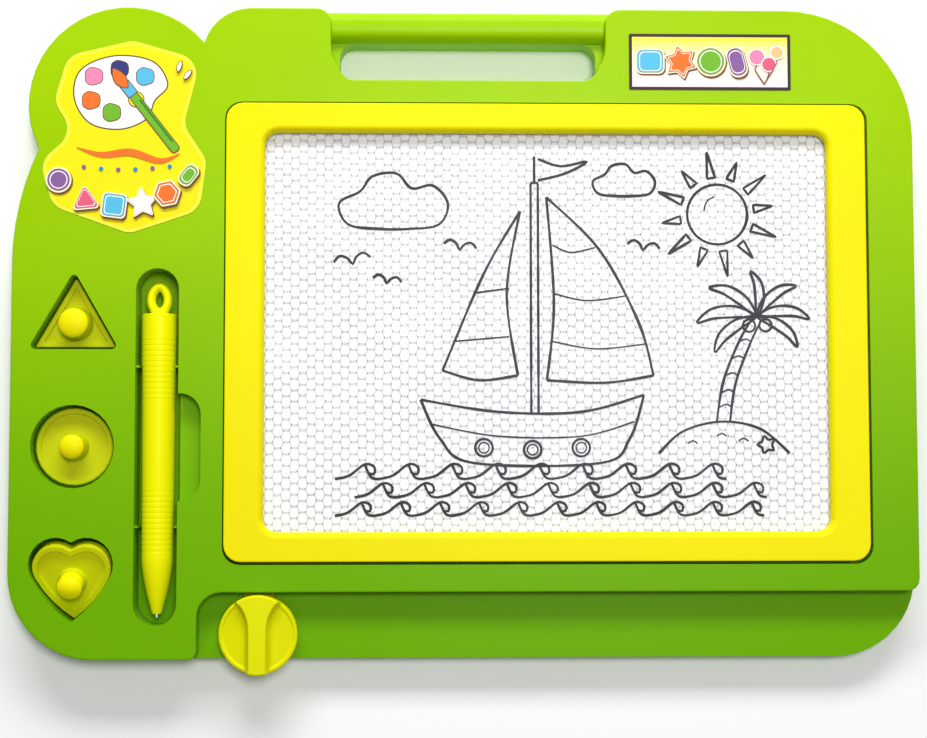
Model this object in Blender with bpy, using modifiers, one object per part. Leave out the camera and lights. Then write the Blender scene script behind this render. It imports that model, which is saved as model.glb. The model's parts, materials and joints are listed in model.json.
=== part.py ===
"""Magnetic drawing board, lying on its back: +X to the right, +Y to the handle, +Z out of the screen.

All lengths are metres. The origin is at the middle of the footprint, on the surface the board lies on.
"""

import math

import bmesh
import bpy
from mathutils import Matrix, Vector

# Board outline, seen from above
FACE_HEIGHT = 0.0200
LOBE_RADIUS = 0.0406
LOBE_INSET = 0.0058
SWEEP_RADIUS = 0.115
SWEEP_FROM_LOBE = 0.0254
BUMP_RADIUS = 0.0200
BUMP_FROM_LOBE = 0.0098
BACK_RIGHT_RADIUS = 0.053
FRONT_LEFT_RADIUS = 0.035
FRONT_RIGHT_RADIUS = 0.033

# Moulding
WALL = 0.0022
FACE_ROUND = 0.0014
COVER_FLOOR = 0.0024
COVER_LIP = 0.0030
COVER_LIP_WALL = 0.0012
CLEARANCE = 0.0003
OVERRUN = 0.0020
CHORD_ERROR = 0.0001
WELD = CLEARANCE / 100
PARALLEL_SINE = 0.0001
ROUND_END_SHARE = 0.999

# Handle bar and grip hole, its place and width as shares of the board's width
GRIP_LEFT_SHARE = 0.35869
GRIP_WIDTH_SHARE = 0.28857
GRIP_FROM_BACK = 0.0130
GRIP_DEPTH = 0.0170
GRIP_CORNER = 0.0062
BAR_DROP = 0.0035
BAR_ROUND = 0.0050
BAR_END_GAP = 0.0032
BAR_BLOCK_CORNER = 0.0060
BAR_BLOCK_SWEEP = 0.0140

# Slider shelf along the front
SHELF_DROP = 0.0090
SHELF_FROM_LEFT = 0.0764
SHELF_DEPTH = 0.0270
SHELF_INNER_CORNER = 0.0100
SHELF_OUTER_CORNER = 0.0050
SHELF_FOOT_CORNER = 0.0036

# Bezel, window and the well that holds them
BEZEL_WIDTH = 0.2638
BEZEL_DEPTH = 0.1882
BEZEL_FROM_LEFT = 0.0869
BEZEL_FROM_BACK = 0.0399
BEZEL_FROM_RIGHT = 0.0201
BEZEL_FROM_STEP = 0.0123
BEZEL_CORNER = 0.0070
BEZEL_PROUD = 0.0010
BEZEL_RIM_SIDE = 0.0158
BEZEL_RIM_END = 0.0120
BEZEL_SLOPE = 0.0036
BEZEL_EDGE_ROUND = 0.0008
BEZEL_WALL = 0.0018
WINDOW_CORNER = 0.0057
WELL_GAP = 0.0008
BEZEL_SHIFT = 0.0003
LEDGE_THICKNESS = 0.0020
LEDGE_SIDE = 0.0074
LEDGE_END = 0.0090
LEDGE_CORNER = 0.0020

# Screen panel
PANEL_TOP_DROP = 0.0041
FILM_THICKNESS = 0.0003
CORE_THICKNESS = 0.0018

# Pen slot, finger pocket and pen, with shares of the board's depth, of the slot and of the barrel
PEN_FROM_LEFT = 0.05945
SLOT_WIDTH = 0.01745
SLOT_LENGTH_SHARE = 0.54301
SLOT_BACK_SHARE = 0.40576
SLOT_DEPTH = 0.0150
CUP_WALL = 0.0018
RIB_THICKNESS = 0.0009
RIB_DROP = 0.0012
RIB_PLACE_SHARES = (0.27617, 0.72521)
POCKET_WIDTH = 0.01795
POCKET_LENGTH_SHARE = 0.30165
POCKET_BACK_SHARE = 0.35193
POCKET_CORNER = 0.0086
POCKET_DEPTH = 0.0080
PEN_DIAMETER = 0.0141
PEN_TOP_PROUD = 0.0003
PEN_BACK_GAP = 0.0050
PEN_FRONT_GAP = 0.0046
BARREL_WAIST_RADIUS = 0.0064
BARREL_MIDDLE_RADIUS = 0.0067
BARREL_NOSE_SHARE = 0.18412
BARREL_NOSE_POWER = 1.6
BARREL_NOSE_STEPS = 6
BARREL_TIP_RADIUS = 0.0019
BARREL_CHAMFER = 0.0004
BARREL_BORE_SHARE = 0.7856
GROOVE_DEPTH = 0.0002
GROOVE_PITCH = 0.0031
GRIP_ZONE_START_SHARES = (0.08347, 0.59329)
GRIP_ZONE_SHARE = 0.20458
LOOP_WIDTH = 0.0106
LOOP_LENGTH = 0.0134
LOOP_SHOULDER_ROUND = 0.0080
LOOP_TIP_ROUND = 0.0022
LOOP_FOOT_ROUND = 0.0016
LOOP_OUTLINE_SHARES = ((0.38, -0.5), (0.5, 0.05), (0.0, 0.6), (-0.5, 0.05), (-0.38, -0.5))
LOOP_THICKNESS = 0.0050
LOOP_HOLE_WIDTH = 0.0034
LOOP_HOLE_LENGTH = 0.0064
PLUG_RADIUS = 0.0048
PLUG_LENGTH = 0.0080
LOOP_EDGE_ROUND = 0.0014
PEN_MAGNET_RADIUS = 0.0010
PEN_MAGNET_LENGTH = 0.0090
PEN_MAGNET_PROUD = 0.0018

# Stamps and their recesses, placed by shares of the board's depth
STAMP_FROM_LEFT = 0.0255
RECESS_DEPTH = 0.0110
HEART_RECESS_DEPTH = 0.0150
TRIANGLE_SIDE = 0.0370
TRIANGLE_CORNER = 0.0016
TRIANGLE_BACK_SHARE = 0.4899
CIRCLE_RADIUS = 0.01695
CIRCLE_BACK_SHARE = 0.67801
HEART_LOBE_RADIUS = 0.0109
HEART_LOBE_SPREAD = 0.0062
HEART_LENGTH = 0.0233
HEART_FLANK_RADIUS = 0.0480
HEART_BACK_SHARE = 0.85639
HEART_TIP_RADIUS = 0.0012
STAMP_GAP = 0.0012
STAMP_THICKNESS = 0.0054
STAMP_RIM = 0.0021
STAMP_SUNK = 0.0012
STAMP_EDGE_ROUND = 0.0005
TRIANGLE_KNOB_RADIUS = 0.0061
CIRCLE_KNOB_RADIUS = 0.0050
HEART_KNOB_RADIUS = 0.0050
STAMP_KNOB_FLARE = 0.0014
STAMP_KNOB_HEIGHT = 0.0090
STAMP_KNOB_DOME = 0.0016
STAMP_MAGNET_INSET = 0.0050
STAMP_MAGNET_THICKNESS = 0.0015
HEART_TILT_SHARE = 0.2222
HEART_TILT_SHIFT = 0.0015

# Eraser
KNOB_FROM_FRONT = 0.0101
KNOB_RADIUS = 0.0160
KNOB_HEIGHT = 0.0100
KNOB_RIDGE = 0.0085
KNOB_SCOOP_RADIUS = 0.0125
KNOB_SCOOP_DEPTH = 0.0078
KNOB_SCOOP_TILT = math.radians(9.0)
KNOB_SCOOP_SPREAD = math.radians(4.0)
KNOB_EDGE_ROUND = 0.0008
KNOB_SOCKET_DEPTH = 0.0045
POST_RADIUS = 0.0035
POST_HEIGHT = 0.0040
ARM_WIDTH = 0.0130
ARM_THICKNESS = 0.0024
ARM_TONGUE_LIFT = 0.0006
ARM_RISER = 0.0024
ERASER_END_GAP = 0.0015
ERASER_START_GAP = 0.0008
ERASER_STOP_GAP = 0.0018
MAGNET_WIDTH = 0.0080
MAGNET_THICKNESS = 0.0018
MAGNET_LIP = 0.0008
RAIL_THICKNESS = 0.0016
RAIL_FROM_END = 0.0300

# Screws from behind
SCREW_RADIUS = 0.0014
SCREW_HEAD_RADIUS = 0.0030
SCREW_HEAD_HEIGHT = 0.0014
SCREW_LENGTH = 0.0100
BOSS_RADIUS = 0.0034
SINK_DEPTH = 0.0040
SINK_WALL = 0.0014
LOBE_SCREW_FROM_LEFT = 0.0464
LOBE_SCREW_FROM_BACK = 0.0240
BACK_SCREW_SHARES = (0.28803, 0.68716)
BACK_SCREW_FROM_BACK = 0.0162
CORNER_SCREW_FROM_RIGHT = 0.0200
CORNER_SCREW_FROM_BACK = 0.0220
SIDE_SCREW_FROM_RIGHT = 0.0100
SIDE_SCREW_FROM_FRONT = 0.0434
SIDE_SCREW_SHARE = 0.50112
FRONT_SCREW_FROM_LEFT = 0.0428
FRONT_SCREW_FROM_FRONT = 0.0072
STEP_SCREW_FROM_LEFT = 0.0770
STEP_SCREW_FROM_FRONT = 0.0419
STAMP_SCREW_SHARE = 0.57068
SCREW_RECESS_RADIUS = 0.0005
SCREW_RECESS_LENGTH = 0.0036

# Stickers
STICKER_THICKNESS = 0.00015
STICKER_LIFT = 0.0001
LEFT_STICKER_WIDTH = 0.0680
LEFT_STICKER_LENGTH = 0.0800
LEFT_STICKER_FROM_LEFT = 0.0450
LEFT_STICKER_FROM_BACK = 0.0543
RIGHT_STICKER_WIDTH_SHARE = 0.18123
RIGHT_STICKER_LENGTH = 0.0235
RIGHT_STICKER_LEFT_SHARE = 0.77292
RIGHT_STICKER_FROM_BACK = 0.0221
RIGHT_STICKER_CORNER = 0.0006
LEFT_STICKER_CORNER = 0.0090
LEFT_STICKER_OUTLINE_SHARES = (
    (-0.34, 0.42), (-0.42, 0.18), (-0.30, 0.02), (-0.50, -0.13), (-0.42, -0.36), (0.04, -0.50),
    (0.46, -0.38), (0.50, -0.12), (0.36, 0.06), (0.46, 0.40), (0.05, 0.50),
)

# The screen's frame and its margins make the board
BOARD_WIDTH = BEZEL_FROM_LEFT + BEZEL_WIDTH + BEZEL_FROM_RIGHT
BOARD_DEPTH = BEZEL_FROM_BACK + BEZEL_DEPTH + BEZEL_FROM_STEP + SHELF_DEPTH
SWEEP_END_FROM_BACK = 2 * LOBE_RADIUS + SWEEP_FROM_LOBE
BUMP_FROM_LEFT = LOBE_INSET + 2 * LOBE_RADIUS + BUMP_FROM_LOBE
GRIP_FROM_LEFT = BOARD_WIDTH * GRIP_LEFT_SHARE
GRIP_WIDTH = BOARD_WIDTH * GRIP_WIDTH_SHARE
RIGHT_STICKER_FROM_LEFT = BOARD_WIDTH * RIGHT_STICKER_LEFT_SHARE
RIGHT_STICKER_WIDTH = BOARD_WIDTH * RIGHT_STICKER_WIDTH_SHARE
SLOT_LENGTH = BOARD_DEPTH * SLOT_LENGTH_SHARE
SLOT_FROM_BACK = BOARD_DEPTH * SLOT_BACK_SHARE
POCKET_LENGTH = SLOT_LENGTH * POCKET_LENGTH_SHARE
POCKET_FROM_BACK = SLOT_FROM_BACK + SLOT_LENGTH * POCKET_BACK_SHARE
TRIANGLE_FROM_BACK = BOARD_DEPTH * TRIANGLE_BACK_SHARE
CIRCLE_FROM_BACK = BOARD_DEPTH * CIRCLE_BACK_SHARE
HEART_FROM_BACK = BOARD_DEPTH * HEART_BACK_SHARE
BARREL_LENGTH = SLOT_LENGTH - PEN_BACK_GAP - LOOP_LENGTH - PEN_FRONT_GAP
BARREL_NOSE_LENGTH = BARREL_LENGTH * BARREL_NOSE_SHARE
BARREL_BORE_END = BARREL_LENGTH * BARREL_BORE_SHARE
GRIP_ZONE_STARTS = tuple(BARREL_LENGTH * share for share in GRIP_ZONE_START_SHARES)
GRIP_ZONE_LENGTH = BARREL_LENGTH * GRIP_ZONE_SHARE
SCREW_PLACES = {
    "lobe": (LOBE_SCREW_FROM_LEFT, LOBE_SCREW_FROM_BACK),
    "back_left": (BOARD_WIDTH * BACK_SCREW_SHARES[0], BACK_SCREW_FROM_BACK),
    "back_middle": (BOARD_WIDTH * BACK_SCREW_SHARES[1], BACK_SCREW_FROM_BACK),
    "back_right": (BOARD_WIDTH - CORNER_SCREW_FROM_RIGHT, CORNER_SCREW_FROM_BACK),
    "right_middle": (BOARD_WIDTH - SIDE_SCREW_FROM_RIGHT, BOARD_DEPTH * SIDE_SCREW_SHARE),
    "front_right": (BOARD_WIDTH - SIDE_SCREW_FROM_RIGHT, BOARD_DEPTH - SIDE_SCREW_FROM_FRONT),
    "front_left": (FRONT_SCREW_FROM_LEFT, BOARD_DEPTH - FRONT_SCREW_FROM_FRONT),
    "front_middle": (STEP_SCREW_FROM_LEFT, BOARD_DEPTH - STEP_SCREW_FROM_FRONT),
    "left_middle": (STAMP_FROM_LEFT, BOARD_DEPTH * STAMP_SCREW_SHARE),
}

# The knob stands out past the front edge, and the footprint is centred with it
KNOB_OVERHANG = KNOB_RADIUS - KNOB_FROM_FRONT
LEFT = -BOARD_WIDTH / 2
RIGHT = BOARD_WIDTH / 2
BACK = (BOARD_DEPTH + KNOB_OVERHANG) / 2
FRONT = BACK - BOARD_DEPTH
MOULDING_BOTTOM = COVER_FLOOR + CLEARANCE
SHELF_TOP = FACE_HEIGHT - SHELF_DROP
STEP_LINE = FRONT + SHELF_DEPTH
SHELF_LEFT = LEFT + SHELF_FROM_LEFT

# Panel stack, worked out downwards from the drawing film
BEZEL_TOP = FACE_HEIGHT + BEZEL_PROUD
FILM_TOP = FACE_HEIGHT - PANEL_TOP_DROP
CORE_TOP = FILM_TOP - FILM_THICKNESS - CLEARANCE
BACK_FILM_TOP = CORE_TOP - CORE_THICKNESS - CLEARANCE
LEDGE_TOP = BACK_FILM_TOP - FILM_THICKNESS - CLEARANCE
BEZEL_FOOT = LEDGE_TOP + CLEARANCE
MAGNET_TOP = BACK_FILM_TOP - FILM_THICKNESS - CLEARANCE
ARM_TOP = MAGNET_TOP - MAGNET_THICKNESS + MAGNET_LIP
ARM_BOTTOM = ARM_TOP - ARM_THICKNESS - MAGNET_LIP
BEZEL_CENTRE = Vector(
    (LEFT + BEZEL_FROM_LEFT + BEZEL_WIDTH / 2, BACK - BEZEL_FROM_BACK - BEZEL_DEPTH / 2)
)
WELL_CENTRE = BEZEL_CENTRE + Vector((BEZEL_SHIFT, -BEZEL_SHIFT))

# Pen and stamps
PEN_X = LEFT + PEN_FROM_LEFT
PEN_AXIS_HEIGHT = FACE_HEIGHT + PEN_TOP_PROUD - PEN_DIAMETER / 2
SLOT_BACK = BACK - SLOT_FROM_BACK
SLOT_FLOOR = FACE_HEIGHT - SLOT_DEPTH
BARREL_BACK = SLOT_BACK - PEN_BACK_GAP - LOOP_LENGTH
STAMP_X = LEFT + STAMP_FROM_LEFT
RECESS_FLOORS = {
    "triangle": FACE_HEIGHT - RECESS_DEPTH,
    "circle": FACE_HEIGHT - RECESS_DEPTH,
    "heart": FACE_HEIGHT - HEART_RECESS_DEPTH,
}

# Eraser
LEDGE_WIDTH = BEZEL_WIDTH + 2 * (WELL_GAP - LEDGE_SIDE)
LEDGE_DEPTH = BEZEL_DEPTH + 2 * (WELL_GAP - LEDGE_END)
ERASER_TRAVEL = LEDGE_WIDTH - ARM_WIDTH - ERASER_START_GAP - ERASER_STOP_GAP
KNOB_X = WELL_CENTRE.x - LEDGE_WIDTH / 2 + ERASER_START_GAP + ARM_WIDTH / 2
KNOB_Y = FRONT + KNOB_FROM_FRONT
TONGUE_BOTTOM = SHELF_TOP + ARM_TONGUE_LIFT
TONGUE_TOP = TONGUE_BOTTOM + ARM_THICKNESS

COLLECTION = bpy.data.collections.new("magnetic_drawing_board")
CUTTERS = bpy.data.collections.new("cutters")


# Outlines in the plan view

def arc(centre, radius, start, end):
    """Points of an arc from one angle to the other, close enough together to look round."""
    finest = 2 * math.acos(1 - min(CHORD_ERROR / radius, 0.5))
    steps = max(2, math.ceil(abs(end - start) / finest))
    angles = [start + (end - start) * i / steps for i in range(steps + 1)]
    return [Vector((centre[0] + radius * math.cos(a), centre[1] + radius * math.sin(a))) for a in angles]


def fillet(before, corner, after, radius):
    """The corner of an outline as an arc, or the sharp point where the radius is zero."""
    corner = Vector(corner)
    if not radius:
        return [corner]
    back = (Vector(before) - corner).normalized()
    ahead = (Vector(after) - corner).normalized()
    half = back.angle(ahead) / 2
    centre = corner + (back + ahead).normalized() * radius / math.sin(half)
    first = corner + back * radius / math.tan(half) - centre
    last = corner + ahead * radius / math.tan(half) - centre
    start = math.atan2(first.y, first.x)
    turn = math.atan2(first.x * last.y - first.y * last.x, first.dot(last))
    return arc(centre, radius, start, start + turn)


def rounded(corners):
    """Closed outline through (x, y, radius) corners."""
    points = []
    count = len(corners)
    for i, (x, y, radius) in enumerate(corners):
        before = corners[i - 1][:2]
        after = corners[(i + 1) % count][:2]
        points += fillet(before, (x, y), after, radius)
    return points


def rectangle(centre, width, depth, radius):
    """Rounded rectangle, anticlockwise."""
    x, y = width / 2, depth / 2
    turns = ((-1, -1), (1, -1), (1, 1), (-1, 1))
    return rounded([(centre[0] + a * x, centre[1] + b * y, radius) for a, b in turns])


def circle(centre, radius):
    """Circle without its last point, which is the first again."""
    return arc(centre, radius, 0, 2 * math.pi)[:-1]


def meet(first, second):
    """Where two lines of (point, direction) meet, or the second one's point if they run on."""
    turn = first[1].x * second[1].y - first[1].y * second[1].x
    if abs(turn) < PARALLEL_SINE:
        return second[0]
    gap = second[0] - first[0]
    return first[0] + first[1] * (gap.x * second[1].y - gap.y * second[1].x) / turn


def offset(points, distance):
    """The anticlockwise outline moved outwards by the distance, or inwards where it is negative."""
    lines = []
    for i, point in enumerate(points):
        ahead = (points[(i + 1) % len(points)] - point).normalized()
        lines.append((point + Vector((ahead.y, -ahead.x)) * distance, ahead))
    while True:
        corners = [meet(lines[i - 1], line) for i, line in enumerate(lines)]
        lengths = [
            (corners[(i + 1) % len(lines)] - corner).dot(lines[i][1]) for i, corner in enumerate(corners)
        ]
        shortest = min(lengths)
        if shortest > 0 or len(lines) < 4:
            return corners
        del lines[lengths.index(shortest)]


def crossing(centre_a, radius_a, centre_b, radius_b, side):
    """Where two circles meet, on the left (+1) or right (-1) of the line from a to b."""
    line = centre_b - centre_a
    span = line.length
    along = (span**2 + radius_a**2 - radius_b**2) / (2 * span)
    across = math.sqrt(radius_a**2 - along**2)
    ahead = line / span
    return centre_a + ahead * along + Vector((-ahead.y, ahead.x)) * across * side


def angle_of(point, centre):
    """Angle of the point seen from the centre, from 0 to a full turn."""
    return math.atan2(point.y - centre[1], point.x - centre[0]) % (2 * math.pi)


def board_outline():
    """The lobed outline of the board, anticlockwise from the front left corner."""
    lobe = Vector((LEFT + LOBE_INSET + LOBE_RADIUS, BACK - LOBE_RADIUS))
    sweep = Vector((LEFT + SWEEP_RADIUS, BACK - SWEEP_END_FROM_BACK))
    bump = Vector((LEFT + BUMP_FROM_LEFT, BACK - BUMP_RADIUS))
    back_notch = crossing(lobe, LOBE_RADIUS, bump, BUMP_RADIUS, 1)
    side_notch = crossing(lobe, LOBE_RADIUS, sweep, SWEEP_RADIUS, -1)
    quarter = math.pi / 2
    corner = Vector((RIGHT - BACK_RIGHT_RADIUS, BACK - BACK_RIGHT_RADIUS))
    front_right = Vector((RIGHT - FRONT_RIGHT_RADIUS, FRONT + FRONT_RIGHT_RADIUS))
    front_left = Vector((LEFT + FRONT_LEFT_RADIUS, FRONT + FRONT_LEFT_RADIUS))
    points = arc(front_left, FRONT_LEFT_RADIUS, 2 * quarter, 3 * quarter)
    points += arc(front_right, FRONT_RIGHT_RADIUS, 3 * quarter, 4 * quarter)
    points += arc(corner, BACK_RIGHT_RADIUS, 0, quarter)
    points += arc(bump, BUMP_RADIUS, quarter, angle_of(back_notch, bump))
    points += arc(lobe, LOBE_RADIUS, angle_of(back_notch, lobe), angle_of(side_notch, lobe))[1:]
    points += arc(sweep, SWEEP_RADIUS, angle_of(side_notch, sweep), 2 * quarter)[1:]
    return points


def triangle_outline():
    """Equilateral triangle with a corner to the back, about its own middle."""
    reach = TRIANGLE_SIDE / math.sqrt(3)
    corners = []
    for turn in range(3):
        angle = math.radians(210 + 120 * turn)
        corners.append((reach * math.cos(angle), reach * math.sin(angle), TRIANGLE_CORNER))
    return rounded(corners)


def heart_outline():
    """Heart of two lobe circles and bowed flanks, about the middle between the lobes."""
    right = Vector((HEART_LOBE_SPREAD, 0))
    left = Vector((-HEART_LOBE_SPREAD, 0))
    notch = crossing(left, HEART_LOBE_RADIUS, right, HEART_LOBE_RADIUS, 1)
    tip = Vector((0, -HEART_LENGTH))
    middle = crossing(tip, HEART_FLANK_RADIUS, right, HEART_FLANK_RADIUS - HEART_LOBE_RADIUS, 1)
    touch = angle_of(right, middle) - 2 * math.pi
    ahead = Vector((middle.y - tip.y, tip.x - middle.x))
    points = fillet(tip + Vector((-ahead.x, ahead.y)), tip, tip + ahead, HEART_TIP_RADIUS)
    flank = arc(middle, HEART_FLANK_RADIUS, angle_of(points[-1], middle) - 2 * math.pi, touch)[1:]
    points += flank
    points += arc(right, HEART_LOBE_RADIUS, touch, angle_of(notch, right))[1:]
    points += arc(left, HEART_LOBE_RADIUS, angle_of(notch, left), math.pi - touch)[1:]
    points += [Vector((-point.x, point.y)) for point in reversed(flank[:-1])]
    return points


def stadium(centre, width, length):
    """Slot outline with round ends, long in Y."""
    return rectangle(centre, width, length, width / 2 * ROUND_END_SHARE)


def placed(points, x, y):
    """An outline moved to its place."""
    return [point + Vector((x, y)) for point in points]


# Solids

def clear_scene():
    """Empties the scene and hangs up the two collections."""
    for old in list(bpy.data.objects):
        bpy.data.objects.remove(old)
    bpy.context.scene.collection.children.link(COLLECTION)
    bpy.context.scene.collection.children.link(CUTTERS)
    CUTTERS.hide_render = True


def material(name, colour, roughness, metallic=0.0):
    """Principled material in one colour."""
    made = bpy.data.materials.new(name)
    made.use_nodes = True
    shader = made.node_tree.nodes["Principled BSDF"]
    shader.inputs["Base Color"].default_value = (*colour, 1)
    shader.inputs["Roughness"].default_value = roughness
    shader.inputs["Metallic"].default_value = metallic
    made.diffuse_color = (*colour, 1)
    return made


def mesh_object(name, mesh):
    """A helper object in the cutters' collection, until it is finished as a part."""
    obj = bpy.data.objects.new(name, mesh)
    CUTTERS.objects.link(obj)
    obj.hide_render = True
    obj.display_type = "WIRE"
    return obj


def from_bmesh(name, shape):
    """Mesh object from a bmesh, with its faces turned outwards."""
    bmesh.ops.recalc_face_normals(shape, faces=shape.faces[:])
    mesh = bpy.data.meshes.new(name)
    shape.to_mesh(mesh)
    shape.free()
    return mesh_object(name, mesh)


def plate(name, outlines, bottom, top):
    """Flat plate between two heights: the first outline less the ones inside it."""
    curve = bpy.data.curves.new(name, "CURVE")
    curve.dimensions = "2D"
    curve.fill_mode = "BOTH"
    curve.extrude = (top - bottom) / 2
    for outline in outlines:
        spline = curve.splines.new("POLY")
        spline.points.add(len(outline) - 1)
        for target, point in zip(spline.points, outline):
            target.co = (point.x, point.y, 0, 1)
        spline.use_cyclic_u = True
    guide = bpy.data.objects.new(name, curve)
    CUTTERS.objects.link(guide)
    bpy.context.view_layer.update()
    evaluated = guide.evaluated_get(bpy.context.evaluated_depsgraph_get())
    mesh = bpy.data.meshes.new_from_object(evaluated)
    bpy.data.objects.remove(guide)
    bpy.data.curves.remove(curve)
    shape = bmesh.new()
    shape.from_mesh(mesh)
    bpy.data.meshes.remove(mesh)
    bmesh.ops.remove_doubles(shape, verts=shape.verts[:], dist=WELD)
    bmesh.ops.translate(shape, verts=shape.verts[:], vec=(0, 0, (top + bottom) / 2))
    flatten(shape)
    return from_bmesh(name, shape)


def flatten(shape):
    """Joins the triangles of a flat face into one face."""
    bmesh.ops.dissolve_limit(
        shape, angle_limit=math.radians(0.3), verts=shape.verts[:], edges=shape.edges[:], delimit=set()
    )


def block(name, low, high):
    """Box between two corners."""
    shape = bmesh.new()
    bmesh.ops.create_cube(shape, size=1)
    size = Vector(high) - Vector(low)
    bmesh.ops.scale(shape, vec=size, verts=shape.verts[:])
    bmesh.ops.translate(shape, vec=Vector(low) + size / 2, verts=shape.verts[:])
    return from_bmesh(name, shape)


def turned(name, profile, origin, axis="Z", ring=False):
    """Shape turned from (radius, height) points down its outer side, which a ring joins back to the first."""
    mesh = bpy.data.meshes.new(name)
    points = [(radius, 0, height) for radius, height in profile]
    edges = [(i, i + 1) for i in range(len(points) - 1)]
    if ring:
        edges.append((len(points) - 1, 0))
    mesh.from_pydata(points, edges, [])
    obj = mesh_object(name, mesh)
    screw = obj.modifiers.new("turn", "SCREW")
    widest = max(radius for radius, height in profile)
    screw.steps = max(12, math.ceil(math.pi / math.acos(1 - CHORD_ERROR / widest) / 4) * 4)
    screw.render_steps = screw.steps
    screw.use_merge_vertices = True
    screw.merge_threshold = WELD
    bake(obj)
    turn = Matrix.Identity(4)
    if axis == "Y":
        turn = Matrix.Rotation(math.radians(-90), 4, "X")
    obj.data.transform(Matrix.Translation(origin) @ turn)
    shape = bmesh.new()
    shape.from_mesh(obj.data)
    bmesh.ops.recalc_face_normals(shape, faces=shape.faces[:])
    shape.to_mesh(obj.data)
    shape.free()
    return obj


def bake(obj):
    """Applies the object's modifiers to its mesh."""
    bpy.context.view_layer.update()
    mesh = bpy.data.meshes.new_from_object(obj.evaluated_get(bpy.context.evaluated_depsgraph_get()))
    old = obj.data
    obj.modifiers.clear()
    obj.data = mesh
    mesh.name = obj.name
    bpy.data.meshes.remove(old)


def combine(target, tools, operation="DIFFERENCE"):
    """Cuts the tools from the target or joins them to it, and removes them."""
    for tool in tools:
        modifier = target.modifiers.new(tool.name, "BOOLEAN")
        modifier.operation = operation
        modifier.object = tool
        modifier.solver = "EXACT"
    bake(target)
    for tool in tools:
        bpy.data.objects.remove(tool)
    return target


def soften(obj, chosen, width, segments=2):
    """Rounds the edges that the test picks, once its flat faces are whole."""
    shape = bmesh.new()
    shape.from_mesh(obj.data)
    bmesh.ops.remove_doubles(shape, verts=shape.verts[:], dist=WELD)
    flatten(shape)
    edges = [edge for edge in shape.edges if len(edge.link_faces) == 2 and chosen(edge)]
    bmesh.ops.bevel(
        shape, geom=edges, offset=width, segments=segments, profile=0.5, affect="EDGES", clamp_overlap=True
    )
    bmesh.ops.recalc_face_normals(shape, faces=shape.faces[:])
    shape.to_mesh(obj.data)
    shape.free()
    return obj


def level_edges(height, inside=None):
    """Test for the outer edges of the flat top at this height, all of them or those inside a rectangle."""

    def chosen(edge):
        if any(abs(vert.co.z - height) > CLEARANCE / 10 for vert in edge.verts):
            return False
        if inside and not all(within(vert.co, *inside) for vert in edge.verts):
            return False
        ups = sorted(face.normal.z for face in edge.link_faces)
        return ups[1] > 0.9 and abs(ups[0]) < 0.2 and edge.is_convex

    return chosen


def within(point, centre, width, depth):
    """True where the point lies inside the rectangle, seen from above."""
    return abs(point.x - centre.x) < width / 2 and abs(point.y - centre.y) < depth / 2


def finish(obj, finish_material, smooth_angle=40):
    """Moves a finished solid to the board's collection with its material and shading."""
    CUTTERS.objects.unlink(obj)
    COLLECTION.objects.link(obj)
    obj.hide_render = False
    obj.display_type = "TEXTURED"
    obj.data.materials.clear()
    obj.data.materials.append(finish_material)
    obj.data.shade_smooth()
    obj.data.set_sharp_from_angle(angle=math.radians(smooth_angle))
    return obj


def set_origin(obj, point):
    """Moves the object's origin without moving its shape."""
    obj.data.transform(Matrix.Translation(-Vector(point)))
    obj.location = point


# Places shared by the pieces

def from_corner(from_left, from_back):
    """A place on the board, given from its left and back edges."""
    return Vector((LEFT + from_left, BACK - from_back))


def grip_outline():
    """The grip hole."""
    centre = from_corner(GRIP_FROM_LEFT + GRIP_WIDTH / 2, GRIP_FROM_BACK + GRIP_DEPTH / 2)
    return rectangle(centre, GRIP_WIDTH, GRIP_DEPTH, GRIP_CORNER)


def shelf_region():
    """The plan of what is cut away above the slider shelf, anticlockwise."""
    foot, inner, outer = SHELF_FOOT_CORNER, SHELF_INNER_CORNER, SHELF_OUTER_CORNER
    half = math.pi / 2
    points = [Vector((SHELF_LEFT - foot, FRONT - OVERRUN))]
    points += arc((SHELF_LEFT - foot, FRONT + foot), foot, -half, 0)
    points += arc((SHELF_LEFT + inner, STEP_LINE - inner), inner, 2 * half, half)
    points += arc((RIGHT - outer, STEP_LINE + outer), outer, -half, 0)
    points += [Vector((RIGHT + OVERRUN, STEP_LINE + outer)), Vector((RIGHT + OVERRUN, FRONT - OVERRUN))]
    return points[::-1]


def bar_limits():
    """The left and right ends of the handle bar, and the front edge of its hollow."""
    left = LEFT + GRIP_FROM_LEFT - BAR_END_GAP
    right = LEFT + GRIP_FROM_LEFT + GRIP_WIDTH + BAR_END_GAP
    return left, right, BACK - GRIP_FROM_BACK - GRIP_DEPTH + CLEARANCE


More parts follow.
